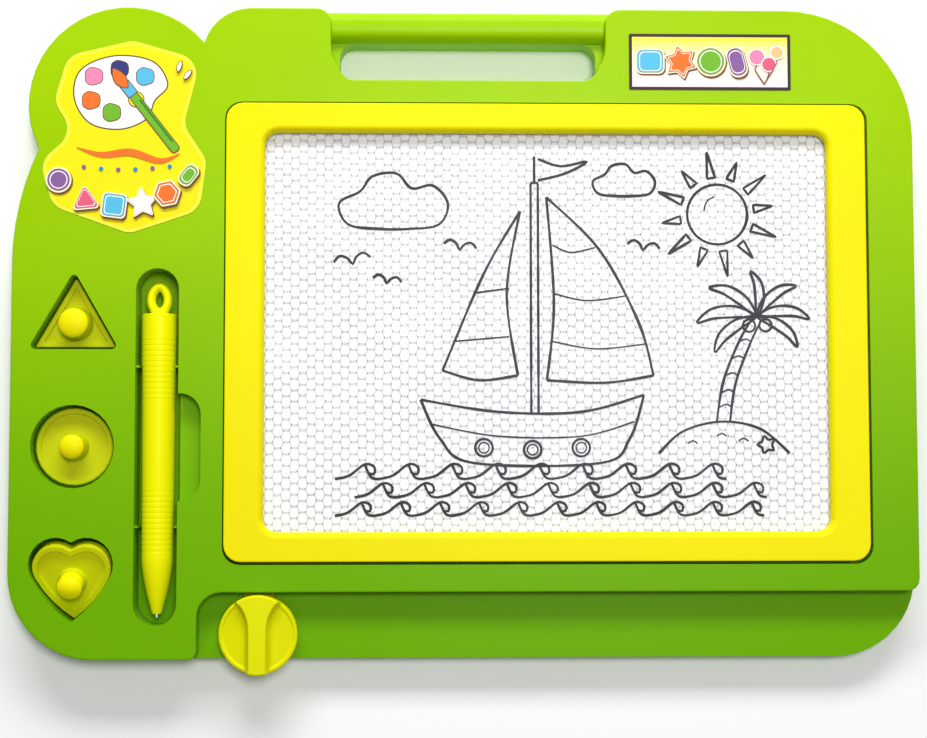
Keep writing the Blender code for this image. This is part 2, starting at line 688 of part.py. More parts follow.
def bar_cutter():
    """What is cut away above the handle bar, down to its rounded top."""
    left, right, low = bar_limits()
    corner, sweep = BAR_BLOCK_CORNER, BAR_BLOCK_SWEEP
    half = math.pi / 2
    plan = arc((left + sweep, low + sweep), sweep, 2 * half, 3 * half)
    plan += arc((right - sweep, low + sweep), sweep, 3 * half, 4 * half)
    plan += arc((right + corner, BACK - corner), corner, 2 * half, half)
    plan += [Vector((right + corner, BACK + OVERRUN)), Vector((left - corner, BACK + OVERRUN))]
    plan += arc((left - corner, BACK - corner), corner, half, 0)
    cutter = plate("bar_plan", [plan], SHELF_TOP - OVERRUN, FACE_HEIGHT + OVERRUN)
    top, front = FACE_HEIGHT - BAR_DROP, BACK - GRIP_FROM_BACK
    profile = [Vector((low - OVERRUN, top - BAR_ROUND))]
    profile += arc((front + BAR_ROUND, top - BAR_ROUND), BAR_ROUND, 2 * half, half)
    profile += arc((BACK - BAR_ROUND, top - BAR_ROUND), BAR_ROUND, half, 0)
    beyond, above = BACK + 2 * OVERRUN, FACE_HEIGHT + 2 * OVERRUN
    profile += [Vector((beyond, top - BAR_ROUND)), Vector((beyond, above)), Vector((low - OVERRUN, above))]
    reach = (right - left) / 2 + corner + OVERRUN
    sweep_body = plate("bar_profile", [profile], -reach, reach)
    turn = Matrix(((0, 0, 1, (left + right) / 2), (1, 0, 0, 0), (0, 1, 0, 0), (0, 0, 0, 1)))
    sweep_body.data.transform(turn)
    return combine(cutter, [sweep_body], "INTERSECT")


def well_outline(grow=0.0):
    """The opening that the bezel drops into, moved out by grow."""
    opening = rectangle(WELL_CENTRE, BEZEL_WIDTH + 2 * WELL_GAP, BEZEL_DEPTH + 2 * WELL_GAP, BEZEL_CORNER)
    return offset(opening, grow)


def recesses():
    """Each stamp recess: its outline in place."""
    return {
        "triangle": placed(triangle_outline(), STAMP_X, BACK - TRIANGLE_FROM_BACK),
        "circle": circle((STAMP_X, BACK - CIRCLE_FROM_BACK), CIRCLE_RADIUS),
        "heart": placed(heart_outline(), STAMP_X, BACK - HEART_FROM_BACK),
    }


def slot_outline():
    """The pen slot."""
    return stadium((PEN_X, SLOT_BACK - SLOT_LENGTH / 2), SLOT_WIDTH, SLOT_LENGTH)


def pocket_outline():
    """The finger pocket, from the slot's middle line to the right."""
    back = BACK - POCKET_FROM_BACK
    front = back - POCKET_LENGTH
    right = PEN_X + POCKET_WIDTH
    corner = POCKET_CORNER
    return rounded([(PEN_X, front, 0), (right, front, corner), (right, back, corner), (PEN_X, back, 0)])


# Front housing

def hollow():
    """The space inside the front housing, from below up to its walls."""
    above = FACE_HEIGHT + OVERRUN
    space = plate("hollow", [offset(board_outline(), -WALL)], MOULDING_BOTTOM - OVERRUN, FACE_HEIGHT - WALL)
    left, right, low = bar_limits()
    bar_front = BACK - GRIP_FROM_BACK
    pocket_floor = FACE_HEIGHT - POCKET_DEPTH
    kept = [
        plate("under_shelf", [offset(shelf_region(), WALL)], SHELF_TOP - WALL, above),
        plate("round_grip", [offset(grip_outline(), WALL)], MOULDING_BOTTOM - 2 * OVERRUN, above),
        block(
            "under_bar",
            (left - WALL, bar_front, FACE_HEIGHT - BAR_DROP - WALL),
            (right + WALL, BACK + OVERRUN, above),
        ),
        plate(
            "under_bar_front",
            [rectangle(
                ((left + right) / 2, (low + bar_front) / 2 + WALL / 2),
                right - left + 2 * WALL, bar_front - low + WALL, GRIP_CORNER,
            )],
            FACE_HEIGHT - BAR_DROP - BAR_ROUND - WALL,
            above,
        ),
        plate("round_well", [well_outline(WALL)], LEDGE_TOP - LEDGE_THICKNESS, above),
        plate("round_slot", [offset(slot_outline(), CUP_WALL)], SLOT_FLOOR - CUP_WALL, above),
        plate("round_pocket", [offset(pocket_outline(), CUP_WALL)], pocket_floor - CUP_WALL, above),
    ]
    for name, outline in recesses().items():
        underside = RECESS_FLOORS[name] - CUP_WALL
        kept.append(plate("round_" + name, [offset(outline, CUP_WALL)], underside, above))
    for name, place in SCREW_PLACES.items():
        boss = circle(from_corner(*place), BOSS_RADIUS)
        kept.append(plate("boss_" + name, [boss], SINK_DEPTH + SINK_WALL + CLEARANCE, above))
    return combine(space, kept)


def slot_cutter():
    """The pen slot less the two ribs that cradle the pen."""
    cutter = plate("slot", [slot_outline()], SLOT_FLOOR, FACE_HEIGHT + OVERRUN)
    seat = PEN_DIAMETER / 2 + CLEARANCE
    ribs = []
    for share in RIB_PLACE_SHARES:
        y = SLOT_BACK - SLOT_LENGTH * share
        low = (PEN_X - SLOT_WIDTH, y - RIB_THICKNESS / 2, SLOT_FLOOR - OVERRUN)
        high = (PEN_X + SLOT_WIDTH, y + RIB_THICKNESS / 2, FACE_HEIGHT - RIB_DROP)
        rib = block("rib", low, high)
        half = RIB_THICKNESS / 2 + OVERRUN
        profile = [(0, half), (seat, half), (seat, -half), (0, -half)]
        round_seat = turned("seat", profile, (PEN_X, y, PEN_AXIS_HEIGHT), "Y")
        mouth_low = (PEN_X - seat, y - half, PEN_AXIS_HEIGHT)
        mouth_high = (PEN_X + seat, y + half, FACE_HEIGHT + OVERRUN)
        ribs.append(combine(rib, [round_seat, block("mouth", mouth_low, mouth_high)]))
    return combine(cutter, ribs)


def eraser_slit():
    """The slit in the step that the eraser tongue runs along."""
    side = ARM_WIDTH / 2 + OVERRUN
    low = (KNOB_X - side, STEP_LINE - OVERRUN, TONGUE_BOTTOM - CLEARANCE)
    high = (KNOB_X + ERASER_TRAVEL + side, STEP_LINE + WALL + OVERRUN, TONGUE_TOP + CLEARANCE)
    return block("slit", low, high)


def front_housing(plastic):
    """The green moulding: skin, walls, cups, ledge and bosses in one piece."""
    above = FACE_HEIGHT + OVERRUN
    below = MOULDING_BOTTOM - OVERRUN
    body = plate("front_housing", [board_outline()], MOULDING_BOTTOM, FACE_HEIGHT)
    shelf = plate("shelf", [shelf_region()], SHELF_TOP, above)
    grip = plate("grip", [grip_outline()], below, above)
    combine(body, [shelf, bar_cutter(), grip])
    soften(body, level_edges(FACE_HEIGHT), FACE_ROUND)
    soften(body, level_edges(SHELF_TOP), FACE_ROUND)
    cuts = [
        hollow(),
        plate("well", [well_outline()], LEDGE_TOP, above),
        plate("ledge", [rectangle(WELL_CENTRE, LEDGE_WIDTH, LEDGE_DEPTH, LEDGE_CORNER)], below, above),
        slot_cutter(),
        plate("pocket", [pocket_outline()], FACE_HEIGHT - POCKET_DEPTH, above),
        eraser_slit(),
    ]
    for name, outline in recesses().items():
        cuts.append(plate("recess_" + name, [outline], RECESS_FLOORS[name], above))
    pilot = SCREW_RADIUS + CLEARANCE / 2
    for name, place in SCREW_PLACES.items():
        bore = circle(from_corner(*place), pilot)
        cuts.append(plate("pilot_" + name, [bore], below, SINK_DEPTH + SCREW_LENGTH))
    combine(body, cuts)
    return finish(body, plastic)


# Back cover and its screws

def back_cover(plastic):
    """Flat cover with a locating lip, sunk screw towers and the guide rails of the eraser arm."""
    cover = plate("back_cover", [board_outline()], 0, COVER_FLOOR)
    lip_out = offset(board_outline(), -WALL - CLEARANCE)
    lip_in = offset(board_outline(), -WALL - CLEARANCE - COVER_LIP_WALL)
    added = [plate("lip", [lip_out, lip_in], COVER_FLOOR / 2, COVER_FLOOR + COVER_LIP)]
    for side in (-1, 1):
        y = WELL_CENTRE.y + side * (LEDGE_DEPTH / 2 - RAIL_FROM_END)
        low = (KNOB_X - ARM_WIDTH, y - RAIL_THICKNESS / 2, COVER_FLOOR / 2)
        high = (KNOB_X + ERASER_TRAVEL + ARM_WIDTH, y + RAIL_THICKNESS / 2, ARM_BOTTOM - CLEARANCE)
        added.append(block("rail", low, high))
    sinks = []
    sink = SCREW_HEAD_RADIUS + CLEARANCE
    for name, place in SCREW_PLACES.items():
        centre = from_corner(*place)
        tower = circle(centre, sink + SINK_WALL)
        added.append(plate("tower_" + name, [tower], COVER_FLOOR / 2, SINK_DEPTH + SINK_WALL))
        sinks.append(plate("sink_" + name, [circle(centre, sink)], -OVERRUN, SINK_DEPTH))
        way = circle(centre, SCREW_RADIUS + CLEARANCE)
        sinks.append(plate("way_" + name, [way], -2 * OVERRUN, SINK_DEPTH + 2 * SINK_WALL))
    combine(cover, added, "UNION")
    grip = plate("grip", [grip_outline()], -OVERRUN, COVER_FLOOR + COVER_LIP + OVERRUN)
    combine(cover, [grip] + sinks)
    return finish(cover, plastic)


def screw(name, place, steel):
    """Pan head screw from behind, with a cross recess."""
    centre = from_corner(*place)
    seat = SINK_DEPTH - CLEARANCE
    head = seat - SCREW_HEAD_HEIGHT
    profile = [
        (0, seat + SCREW_LENGTH),
        (SCREW_RADIUS, seat + SCREW_LENGTH - SCREW_RADIUS),
        (SCREW_RADIUS, seat),
        (SCREW_HEAD_RADIUS, seat),
        (SCREW_HEAD_RADIUS, head + SCREW_HEAD_HEIGHT / 2),
        (SCREW_HEAD_RADIUS - SCREW_HEAD_HEIGHT / 2, head),
        (0, head),
    ]
    body = turned(name, profile, (centre.x, centre.y, 0))
    long, thin = SCREW_RECESS_LENGTH / 2, SCREW_RECESS_RADIUS
    deep = head + SCREW_HEAD_HEIGHT / 2
    bars = []
    for x, y in ((long, thin), (thin, long)):
        low = (centre.x - x, centre.y - y, head - OVERRUN)
        high = (centre.x + x, centre.y + y, deep)
        bars.append(block("cross", low, high))
    combine(body, bars)
    set_origin(body, (centre.x, centre.y, seat))
    return finish(body, steel)


# Bezel and screen panel

def bezel_frame(plastic):
    """The yellow frame: a moulded channel that presses the panel on its ledge."""
    outer = rectangle(BEZEL_CENTRE, BEZEL_WIDTH, BEZEL_DEPTH, BEZEL_CORNER)
    width = BEZEL_WIDTH - 2 * BEZEL_RIM_SIDE
    depth = BEZEL_DEPTH - 2 * BEZEL_RIM_END
    window = rectangle(BEZEL_CENTRE, width, depth, WINDOW_CORNER)
    frame = plate("bezel_frame", [outer, window], BEZEL_FOOT, BEZEL_TOP)
    span = (BEZEL_CENTRE, width + BEZEL_RIM_END, depth + BEZEL_RIM_END)
    soften(frame, level_edges(BEZEL_TOP, span), BEZEL_SLOPE, 4)
    whole = (BEZEL_CENTRE, BEZEL_WIDTH + OVERRUN, BEZEL_DEPTH + OVERRUN)
    soften(frame, outer_edges(level_edges(BEZEL_TOP, whole), span), BEZEL_EDGE_ROUND)
    seat = FILM_TOP + CLEARANCE
    channel = [
        offset(outer, -2 * BEZEL_WALL),
        offset(window, BEZEL_SLOPE + BEZEL_WALL),
    ]
    cuts = [
        plate("panel_space", [offset(outer, -BEZEL_WALL)], BEZEL_FOOT - OVERRUN, seat),
        plate("channel", channel, seat - OVERRUN, BEZEL_TOP - BEZEL_WALL),
    ]
    combine(frame, cuts)
    return finish(frame, plastic)


def outer_edges(chosen, span):
    """The edges that the test picks and that lie outside the rectangle."""
    return lambda edge: chosen(edge) and not any(within(vert.co, *span) for vert in edge.verts)


def panel_outline():
    """The panel fits inside the bezel's outer wall."""
    inset = 2 * (BEZEL_WALL + CLEARANCE)
    return rectangle(BEZEL_CENTRE, BEZEL_WIDTH - inset, BEZEL_DEPTH - inset, BEZEL_CORNER - BEZEL_WALL)


def panel(film, core):
    """Drawing film, cell core and back film."""
    front = plate("screen_film", [panel_outline()], FILM_TOP - FILM_THICKNESS, FILM_TOP)
    cells = plate("honeycomb_core", [panel_outline()], CORE_TOP - CORE_THICKNESS, CORE_TOP)
    back = plate("panel_back_film", [panel_outline()], BACK_FILM_TOP - FILM_THICKNESS, BACK_FILM_TOP)
    return [finish(front, film), finish(cells, core), finish(back, film)]


# Eraser

def eraser_arm(plastic):
    """Flat arm under the panel that rises behind the step and comes out over the shelf to a post."""
    side = ARM_WIDTH / 2
    back = WELL_CENTRE.y + LEDGE_DEPTH / 2 - ERASER_END_GAP
    front = WELL_CENTRE.y - LEDGE_DEPTH / 2 + ERASER_END_GAP
    ledge_bottom = LEDGE_TOP - LEDGE_THICKNESS
    well_wall = WELL_CENTRE.y - BEZEL_DEPTH / 2 - WELL_GAP - WALL
    riser_back = well_wall - ERASER_END_GAP / 2
    riser_front = riser_back - ARM_RISER
    left, right = KNOB_X - side, KNOB_X + side
    arm = block("eraser_arm", (left, front, ARM_BOTTOM), (right, back, ARM_TOP))
    neck_top = ledge_bottom - CLEARANCE
    tongue_front = KNOB_Y - POST_RADIUS - KNOB_EDGE_ROUND
    added = [
        block("neck", (left, riser_front, ARM_BOTTOM), (right, front + OVERRUN, neck_top)),
        block("riser", (left, riser_front, neck_top - OVERRUN / 2), (right, riser_back, TONGUE_TOP)),
        block("tongue", (left, tongue_front, TONGUE_BOTTOM), (right, riser_front + OVERRUN, TONGUE_TOP)),
    ]
    post = [
        (0, TONGUE_TOP + POST_HEIGHT),
        (POST_RADIUS - KNOB_EDGE_ROUND, TONGUE_TOP + POST_HEIGHT),
        (POST_RADIUS, TONGUE_TOP + POST_HEIGHT - KNOB_EDGE_ROUND),
        (POST_RADIUS, TONGUE_BOTTOM + ARM_THICKNESS / 2),
        (0, TONGUE_BOTTOM + ARM_THICKNESS / 2),
    ]
    added.append(turned("post", post, (KNOB_X, KNOB_Y, 0)))
    combine(arm, added, "UNION")
    groove = MAGNET_WIDTH / 2 + CLEARANCE
    floor = MAGNET_TOP - MAGNET_THICKNESS - CLEARANCE
    low = (KNOB_X - groove, front + ERASER_END_GAP, floor)
    high = (KNOB_X + groove, back - ERASER_END_GAP, ARM_TOP + OVERRUN)
    combine(arm, [block("groove", low, high)])
    set_origin(arm, (KNOB_X, KNOB_Y, TONGUE_BOTTOM))
    return finish(arm, plastic)


def eraser_magnet(rubber):
    """Bar magnet in the arm's groove."""
    reach = LEDGE_DEPTH / 2 - 2 * ERASER_END_GAP - CLEARANCE
    low = (KNOB_X - MAGNET_WIDTH / 2, WELL_CENTRE.y - reach, MAGNET_TOP - MAGNET_THICKNESS)
    high = (KNOB_X + MAGNET_WIDTH / 2, WELL_CENTRE.y + reach, MAGNET_TOP)
    magnet = block("eraser_magnet_strip", low, high)
    soften(magnet, level_edges(MAGNET_TOP), CLEARANCE, 1)
    set_origin(magnet, (KNOB_X, KNOB_Y, TONGUE_BOTTOM))
    return finish(magnet, rubber)


def eraser_knob(plastic):
    """Round knob with a finger ridge between two scoops that deepen to the front."""
    base = TONGUE_TOP + CLEARANCE
    top = base + KNOB_HEIGHT
    edge = KNOB_EDGE_ROUND
    profile = [
        (0, top), (KNOB_RADIUS - edge, top), (KNOB_RADIUS, top - edge),
        (KNOB_RADIUS, base + edge), (KNOB_RADIUS - edge, base), (0, base),
    ]
    knob = turned("eraser_knob", profile, (KNOB_X, KNOB_Y, 0))
    rise = KNOB_SCOOP_RADIUS - KNOB_SCOOP_DEPTH
    aside = KNOB_RIDGE / 2 + math.sqrt(KNOB_SCOOP_RADIUS**2 - rise**2)
    scoops = []
    for side in (-1, 1):
        reach = 2 * KNOB_RADIUS
        scoop_profile = [(0, reach), (KNOB_SCOOP_RADIUS, reach), (KNOB_SCOOP_RADIUS, -reach), (0, -reach)]
        scoop = turned("scoop", scoop_profile, (0, 0, 0), "Y")
        place = Matrix.Translation((KNOB_X + side * aside, KNOB_Y, top + rise))
        spread = Matrix.Rotation(-side * KNOB_SCOOP_SPREAD, 4, "Z")
        scoop.data.transform(place @ spread @ Matrix.Rotation(KNOB_SCOOP_TILT, 4, "X"))
        scoops.append(scoop)
    socket_radius = POST_RADIUS + CLEARANCE
    socket = [
        (0, base + KNOB_SOCKET_DEPTH), (socket_radius, base + KNOB_SOCKET_DEPTH),
        (socket_radius, base - OVERRUN), (0, base - OVERRUN),
    ]
    combine(knob, scoops + [turned("socket", socket, (KNOB_X, KNOB_Y, 0))])
    set_origin(knob, (KNOB_X, KNOB_Y, base))
    return finish(knob, plastic)


# Pen

def barrel_radius(along):
    """Outer radius of the barrel at a distance from its back end."""
    full = PEN_DIAMETER / 2
    nose = BARREL_LENGTH - BARREL_NOSE_LENGTH
    grip_end = GRIP_ZONE_STARTS[0] + GRIP_ZONE_LENGTH
    if along < GRIP_ZONE_STARTS[0]:
        return full
    if along < grip_end:
        return full + (BARREL_MIDDLE_RADIUS - full) * (along - GRIP_ZONE_STARTS[0]) / GRIP_ZONE_LENGTH
    if along < nose:
        share = (along - grip_end) / (nose - grip_end)
        return BARREL_MIDDLE_RADIUS + (BARREL_WAIST_RADIUS - BARREL_MIDDLE_RADIUS) * share
    share = (along - nose) / BARREL_NOSE_LENGTH
    return BARREL_WAIST_RADIUS + (BARREL_TIP_RADIUS - BARREL_WAIST_RADIUS) * share**BARREL_NOSE_POWER


def barrel_profile():
    """Outer profile of the barrel as (radius, distance from its back end), with the two ribbed grips."""
    points = [(PEN_DIAMETER / 2 - BARREL_CHAMFER, 0), (PEN_DIAMETER / 2, BARREL_CHAMFER)]
    for start in GRIP_ZONE_STARTS:
        for i in range(round(GRIP_ZONE_LENGTH / GROOVE_PITCH)):
            middle = start + (i + 0.5) * GROOVE_PITCH
            for step, sink in ((-GROOVE_PITCH / 5, 0), (0, GROOVE_DEPTH), (GROOVE_PITCH / 5, 0)):
                points.append((barrel_radius(middle + step) - sink, middle + step))
    for i in range(BARREL_NOSE_STEPS + 1):
        along = BARREL_LENGTH - BARREL_NOSE_LENGTH * (1 - i / BARREL_NOSE_STEPS)
        points.append((barrel_radius(along), along))
    return points


def pen(plastic, steel):
    """Barrel, loop plug and the small magnet in the nose."""
    origin = (PEN_X, BARREL_BACK, PEN_AXIS_HEIGHT)
    pin_bore = PEN_MAGNET_RADIUS + CLEARANCE / 2
    plug_bore = PLUG_RADIUS + CLEARANCE / 2
    pin_seat = BARREL_LENGTH + PEN_MAGNET_PROUD - PEN_MAGNET_LENGTH - CLEARANCE
    bore = [
        (pin_bore, BARREL_LENGTH),
        (pin_bore, pin_seat),
        (PEN_MAGNET_RADIUS - CLEARANCE, pin_seat),
        (PEN_MAGNET_RADIUS - CLEARANCE, BARREL_BORE_END + PLUG_RADIUS / 2),
        (PLUG_RADIUS / 2, BARREL_BORE_END),
        (PLUG_RADIUS - CLEARANCE, GRIP_ZONE_STARTS[1]),
        (plug_bore, PLUG_LENGTH + CLEARANCE),
        (plug_bore, 0),
    ]
    profile = [(radius, -along) for radius, along in barrel_profile() + bore]
    barrel = turned("pen_barrel", profile, origin, "Y", ring=True)
    centre = (PEN_X, BARREL_BACK + LOOP_LENGTH / 2)
    hole = stadium(centre, LOOP_HOLE_WIDTH, LOOP_HOLE_LENGTH)
    rounds = (LOOP_FOOT_ROUND, LOOP_SHOULDER_ROUND, LOOP_TIP_ROUND, LOOP_SHOULDER_ROUND, LOOP_FOOT_ROUND)
    ring = rounded([
        (centre[0] + x * LOOP_WIDTH, centre[1] + y * (LOOP_LENGTH - CLEARANCE), radius)
        for (x, y), radius in zip(LOOP_OUTLINE_SHARES, rounds)
    ])
    low = PEN_AXIS_HEIGHT - LOOP_THICKNESS / 2
    high = PEN_AXIS_HEIGHT + LOOP_THICKNESS / 2
    loop = plate("pen_loop_plug", [ring, hole], low, high)
    soften(loop, level_edges(high), LOOP_EDGE_ROUND)
    cap = PLUG_RADIUS - BARREL_CHAMFER
    plug = [(0, LOOP_WIDTH / 4), (cap, LOOP_WIDTH / 8), (cap, CLEARANCE / 2), (PLUG_RADIUS, 0)]
    plug += [(PLUG_RADIUS, -PLUG_LENGTH), (0, -PLUG_LENGTH)]
    shaft = turned("plug", plug, origin, "Y")
    slot = plate("slot", [hole], low - OVERRUN, high + OVERRUN)
    combine(loop, [shaft], "UNION")
    combine(loop, [slot])
    end = -(BARREL_LENGTH + PEN_MAGNET_PROUD)
    pin = [
        (0, end + PEN_MAGNET_LENGTH), (PEN_MAGNET_RADIUS, end + PEN_MAGNET_LENGTH),
        (PEN_MAGNET_RADIUS, end + CLEARANCE), (PEN_MAGNET_RADIUS - CLEARANCE, end), (0, end),
    ]
    magnet = turned("pen_magnet", pin, origin, "Y")
    for piece, look in ((barrel, plastic), (loop, plastic), (magnet, steel)):
        set_origin(piece, origin)
        finish(piece, look)


# Stamps

def stamp(shape_name, outline, knob_radius, plastic, rubber):
    """Stamp with a raised rim, a knob and a magnet sheet let into its underside, standing on z = 0."""
    foot = offset(outline, -STAMP_GAP)
    body = plate("stamp_" + shape_name, [foot], 0, STAMP_THICKNESS)
    soften(body, level_edges(STAMP_THICKNESS), STAMP_EDGE_ROUND, 1)
    sunk_floor = STAMP_THICKNESS - STAMP_SUNK
    sunk = plate("sunk", [offset(foot, -STAMP_RIM)], sunk_floor, STAMP_THICKNESS + OVERRUN)
    sheet = offset(foot, -STAMP_MAGNET_INSET)
    room = plate("room", [offset(sheet, CLEARANCE)], -OVERRUN, STAMP_MAGNET_THICKNESS + CLEARANCE)
    combine(body, [sunk, room])
    top = sunk_floor + STAMP_KNOB_HEIGHT
    dome = STAMP_KNOB_DOME
    profile = [(0, top), (knob_radius - dome, top - dome / 4), (knob_radius, top - dome)]
    foot_radius, root = knob_radius + STAMP_KNOB_FLARE, sunk_floor - STAMP_SUNK
    profile += [(knob_radius, sunk_floor + 2 * STAMP_KNOB_FLARE), (foot_radius, root), (0, root)]
    combine(body, [turned("knob", profile, (0, 0, 0))], "UNION")
    magnet = plate("magnet_" + shape_name, [sheet], 0, STAMP_MAGNET_THICKNESS)
    return [finish(body, plastic), finish(magnet, rubber)]


def stamps(plastic, rubber):
    """The three stamps in their recesses, the heart leaning towards its tip as it lies."""
    round_outline = circle((0, 0), CIRCLE_RADIUS)
    heart = heart_outline()
    knob_y = min(point.y for point in heart) / 4
    shifted = placed(heart, 0, -knob_y)
    kinds = (
        ("triangle", triangle_outline(), TRIANGLE_KNOB_RADIUS, BACK - TRIANGLE_FROM_BACK),
        ("circle", round_outline, CIRCLE_KNOB_RADIUS, BACK - CIRCLE_FROM_BACK),
        ("heart", shifted, HEART_KNOB_RADIUS, BACK - HEART_FROM_BACK + knob_y),
    )
    for name, outline, knob_radius, knob_place in kinds:
        pieces = stamp(name, outline, knob_radius, plastic, rubber)
        for piece in pieces:
            if name == "heart":
                tip = min(point.y for point in offset(outline, -STAMP_GAP))
                pivot = Matrix.Translation((0, tip, 0))
                lean = pivot @ Matrix.Rotation(HEART_TILT_SHARE * math.pi / 2, 4, "X") @ pivot.inverted()
                piece.data.transform(Matrix.Translation((0, HEART_TILT_SHIFT, 0)) @ lean)
            piece.location = (STAMP_X, knob_place, RECESS_FLOORS[name] + CLEARANCE)


# Stickers

def stickers(paper):
    """Two thin labels on the face: a die-cut one and a rectangular one."""
    low = FACE_HEIGHT + STICKER_LIFT
    high = low + STICKER_THICKNESS
    centre = from_corner(LEFT_STICKER_FROM_LEFT, LEFT_STICKER_FROM_BACK)
    corners = [
        (centre.x + x * LEFT_STICKER_WIDTH, centre.y + y * LEFT_STICKER_LENGTH, LEFT_STICKER_CORNER)
        for x, y in LEFT_STICKER_OUTLINE_SHARES
    ]
    left = plate("sticker_left", [rounded(corners)], low, high)
    place = from_corner(RIGHT_STICKER_FROM_LEFT, RIGHT_STICKER_FROM_BACK)
    outline = rectangle(place, RIGHT_STICKER_WIDTH, RIGHT_STICKER_LENGTH, RIGHT_STICKER_CORNER)
    right = plate("sticker_right", [outline], low, high)
    return [finish(left, paper), finish(right, paper)]


def main():
    """Builds every piece of the board."""
    clear_scene()
    green = material("green_plastic", (0.27, 0.60, 0.01), 0.38)
    yellow = material("yellow_plastic", (0.92, 0.86, 0.01), 0.35)
    white = material("white_film", (0.88, 0.88, 0.88), 0.30)
    grey = material("grey_core", (0.62, 0.62, 0.62), 0.60)
    rubber = material("magnet_rubber", (0.05, 0.05, 0.05), 0.70)
    steel = material("steel", (0.62, 0.62, 0.60), 0.30, 1.0)
    paper = material("label_paper", (0.90, 0.75, 0.05), 0.45)
    front_housing(green)
    back_cover(green)
    for name, place in SCREW_PLACES.items():
        screw("screw_" + name, place, steel)
    bezel_frame(yellow)
    panel(white, grey)
    eraser_arm(yellow)
    eraser_magnet(rubber)
    eraser_knob(yellow)
    pen(yellow, steel)
    stamps(yellow, rubber)
    stickers(paper)


main()
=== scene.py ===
"""Looks of the toy magnetic drawing board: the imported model, dressed as the photograph shows it.

Every length is in metres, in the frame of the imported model: +X to the right of the screen,
+Y to the handle, +Z out of the screen, with the board lying on z = 0.
"""

import json
import logging
import math
from dataclasses import dataclass
from enum import Enum
from typing import Any, Callable, Optional, Sequence, Union

import bmesh
import bpy
from mathutils import Matrix, Vector

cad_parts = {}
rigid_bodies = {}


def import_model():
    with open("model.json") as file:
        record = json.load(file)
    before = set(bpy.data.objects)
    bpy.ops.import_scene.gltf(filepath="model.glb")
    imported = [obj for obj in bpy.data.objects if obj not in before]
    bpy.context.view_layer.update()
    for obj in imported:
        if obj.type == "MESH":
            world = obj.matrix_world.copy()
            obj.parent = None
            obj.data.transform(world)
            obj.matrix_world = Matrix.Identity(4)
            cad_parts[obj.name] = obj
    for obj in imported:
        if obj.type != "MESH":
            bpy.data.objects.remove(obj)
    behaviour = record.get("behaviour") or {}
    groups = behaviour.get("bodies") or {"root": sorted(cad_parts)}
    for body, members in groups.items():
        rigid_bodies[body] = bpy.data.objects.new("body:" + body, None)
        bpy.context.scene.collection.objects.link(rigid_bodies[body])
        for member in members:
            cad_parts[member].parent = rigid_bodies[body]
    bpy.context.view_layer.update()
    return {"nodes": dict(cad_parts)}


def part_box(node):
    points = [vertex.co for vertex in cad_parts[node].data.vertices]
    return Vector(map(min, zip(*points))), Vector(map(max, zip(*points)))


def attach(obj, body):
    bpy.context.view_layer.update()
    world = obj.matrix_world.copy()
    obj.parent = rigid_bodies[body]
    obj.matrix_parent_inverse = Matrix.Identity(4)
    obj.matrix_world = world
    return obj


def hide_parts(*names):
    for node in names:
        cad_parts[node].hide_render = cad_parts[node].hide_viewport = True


for leftover in list(bpy.data.objects):
    bpy.data.objects.remove(leftover)

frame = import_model()
LOG = logging.getLogger("drawing_board")

Colour = tuple[float, float, float]
Outline = list[Vector]
Stroke = tuple[Outline, bool]


def linear(red: int, green: int, blue: int) -> Colour:
    """Gives the linear colour of an sRGB one.

    Args:
        red: sRGB red, 0 to 255.
        green: sRGB green, 0 to 255.
        blue: sRGB blue, 0 to 255.

    Returns:
        The colour as linear numbers from 0 to 1.
    """

    def channel(value: int) -> float:
        """One channel."""
        share = value / 255
        return share / 12.92 if share <= 0.04045 else ((share + 0.055) / 1.055) ** 2.4

    return channel(red), channel(green), channel(blue)


# Node trees

class Wires:
    """A node tree, and the one place where its nodes are made."""

    def __init__(self, tree: bpy.types.NodeTree) -> None:
        """Takes the tree that the nodes go into."""
        self.tree = tree

    def node(
        self, kind: str, settings: Optional[dict[str, Any]] = None, inputs: Optional[dict[Any, Any]] = None
    ) -> bpy.types.Node:
        """Makes a node, sets it up and wires it.

        Args:
            kind: The node's type.
            settings: Its properties.
            inputs: A value, socket or Value for each input, by name or number.

        Returns:
            The node.
        """
        made = self.tree.nodes.new(kind)
        for name, value in (settings or {}).items():
            setattr(made, name, value)
        for key, value in (inputs or {}).items():
            self.wire(made.inputs[key], value)
        return made

    def wire(self, target: bpy.types.NodeSocket, value: Any) -> None:
        """Links a socket or a Value to an input, or sets the input to a plain value.

        Args:
            target: The input.
            value: What it takes.
        """
        if isinstance(value, Value):
            value = value.socket
        if isinstance(value, bpy.types.NodeSocket):
            self.tree.links.new(value, target)
        else:
            target.default_value = value

    def value(
        self, kind: str, output: Union[str, int], settings: Optional[dict[str, Any]] = None,
        inputs: Optional[dict[Any, Any]] = None,
    ) -> "Value":
        """Makes a node and gives one of its outputs.

        Args:
            kind: The node's type.
            output: The output's name or number.
            settings: The node's properties.
            inputs: A value, socket or Value for each input, by name or number.

        Returns:
            The output as a Value.
        """
        return Value(self, self.node(kind, settings, inputs).outputs[output])

    def blend(self, share: Union["Value", float], first: Any, second: Any) -> bpy.types.NodeSocket:
        """Mixes two colours.

        Args:
            share: How much of the second one.
            first: A colour or a colour socket.
            second: A colour or a colour socket.

        Returns:
            The mixed colour's socket.
        """
        colours = [(*c, 1) if isinstance(c, tuple) else c for c in (first, second)]
        inputs = {0: share, 6: colours[0], 7: colours[1]}
        return self.node("ShaderNodeMix", {"data_type": "RGBA"}, inputs).outputs[2]


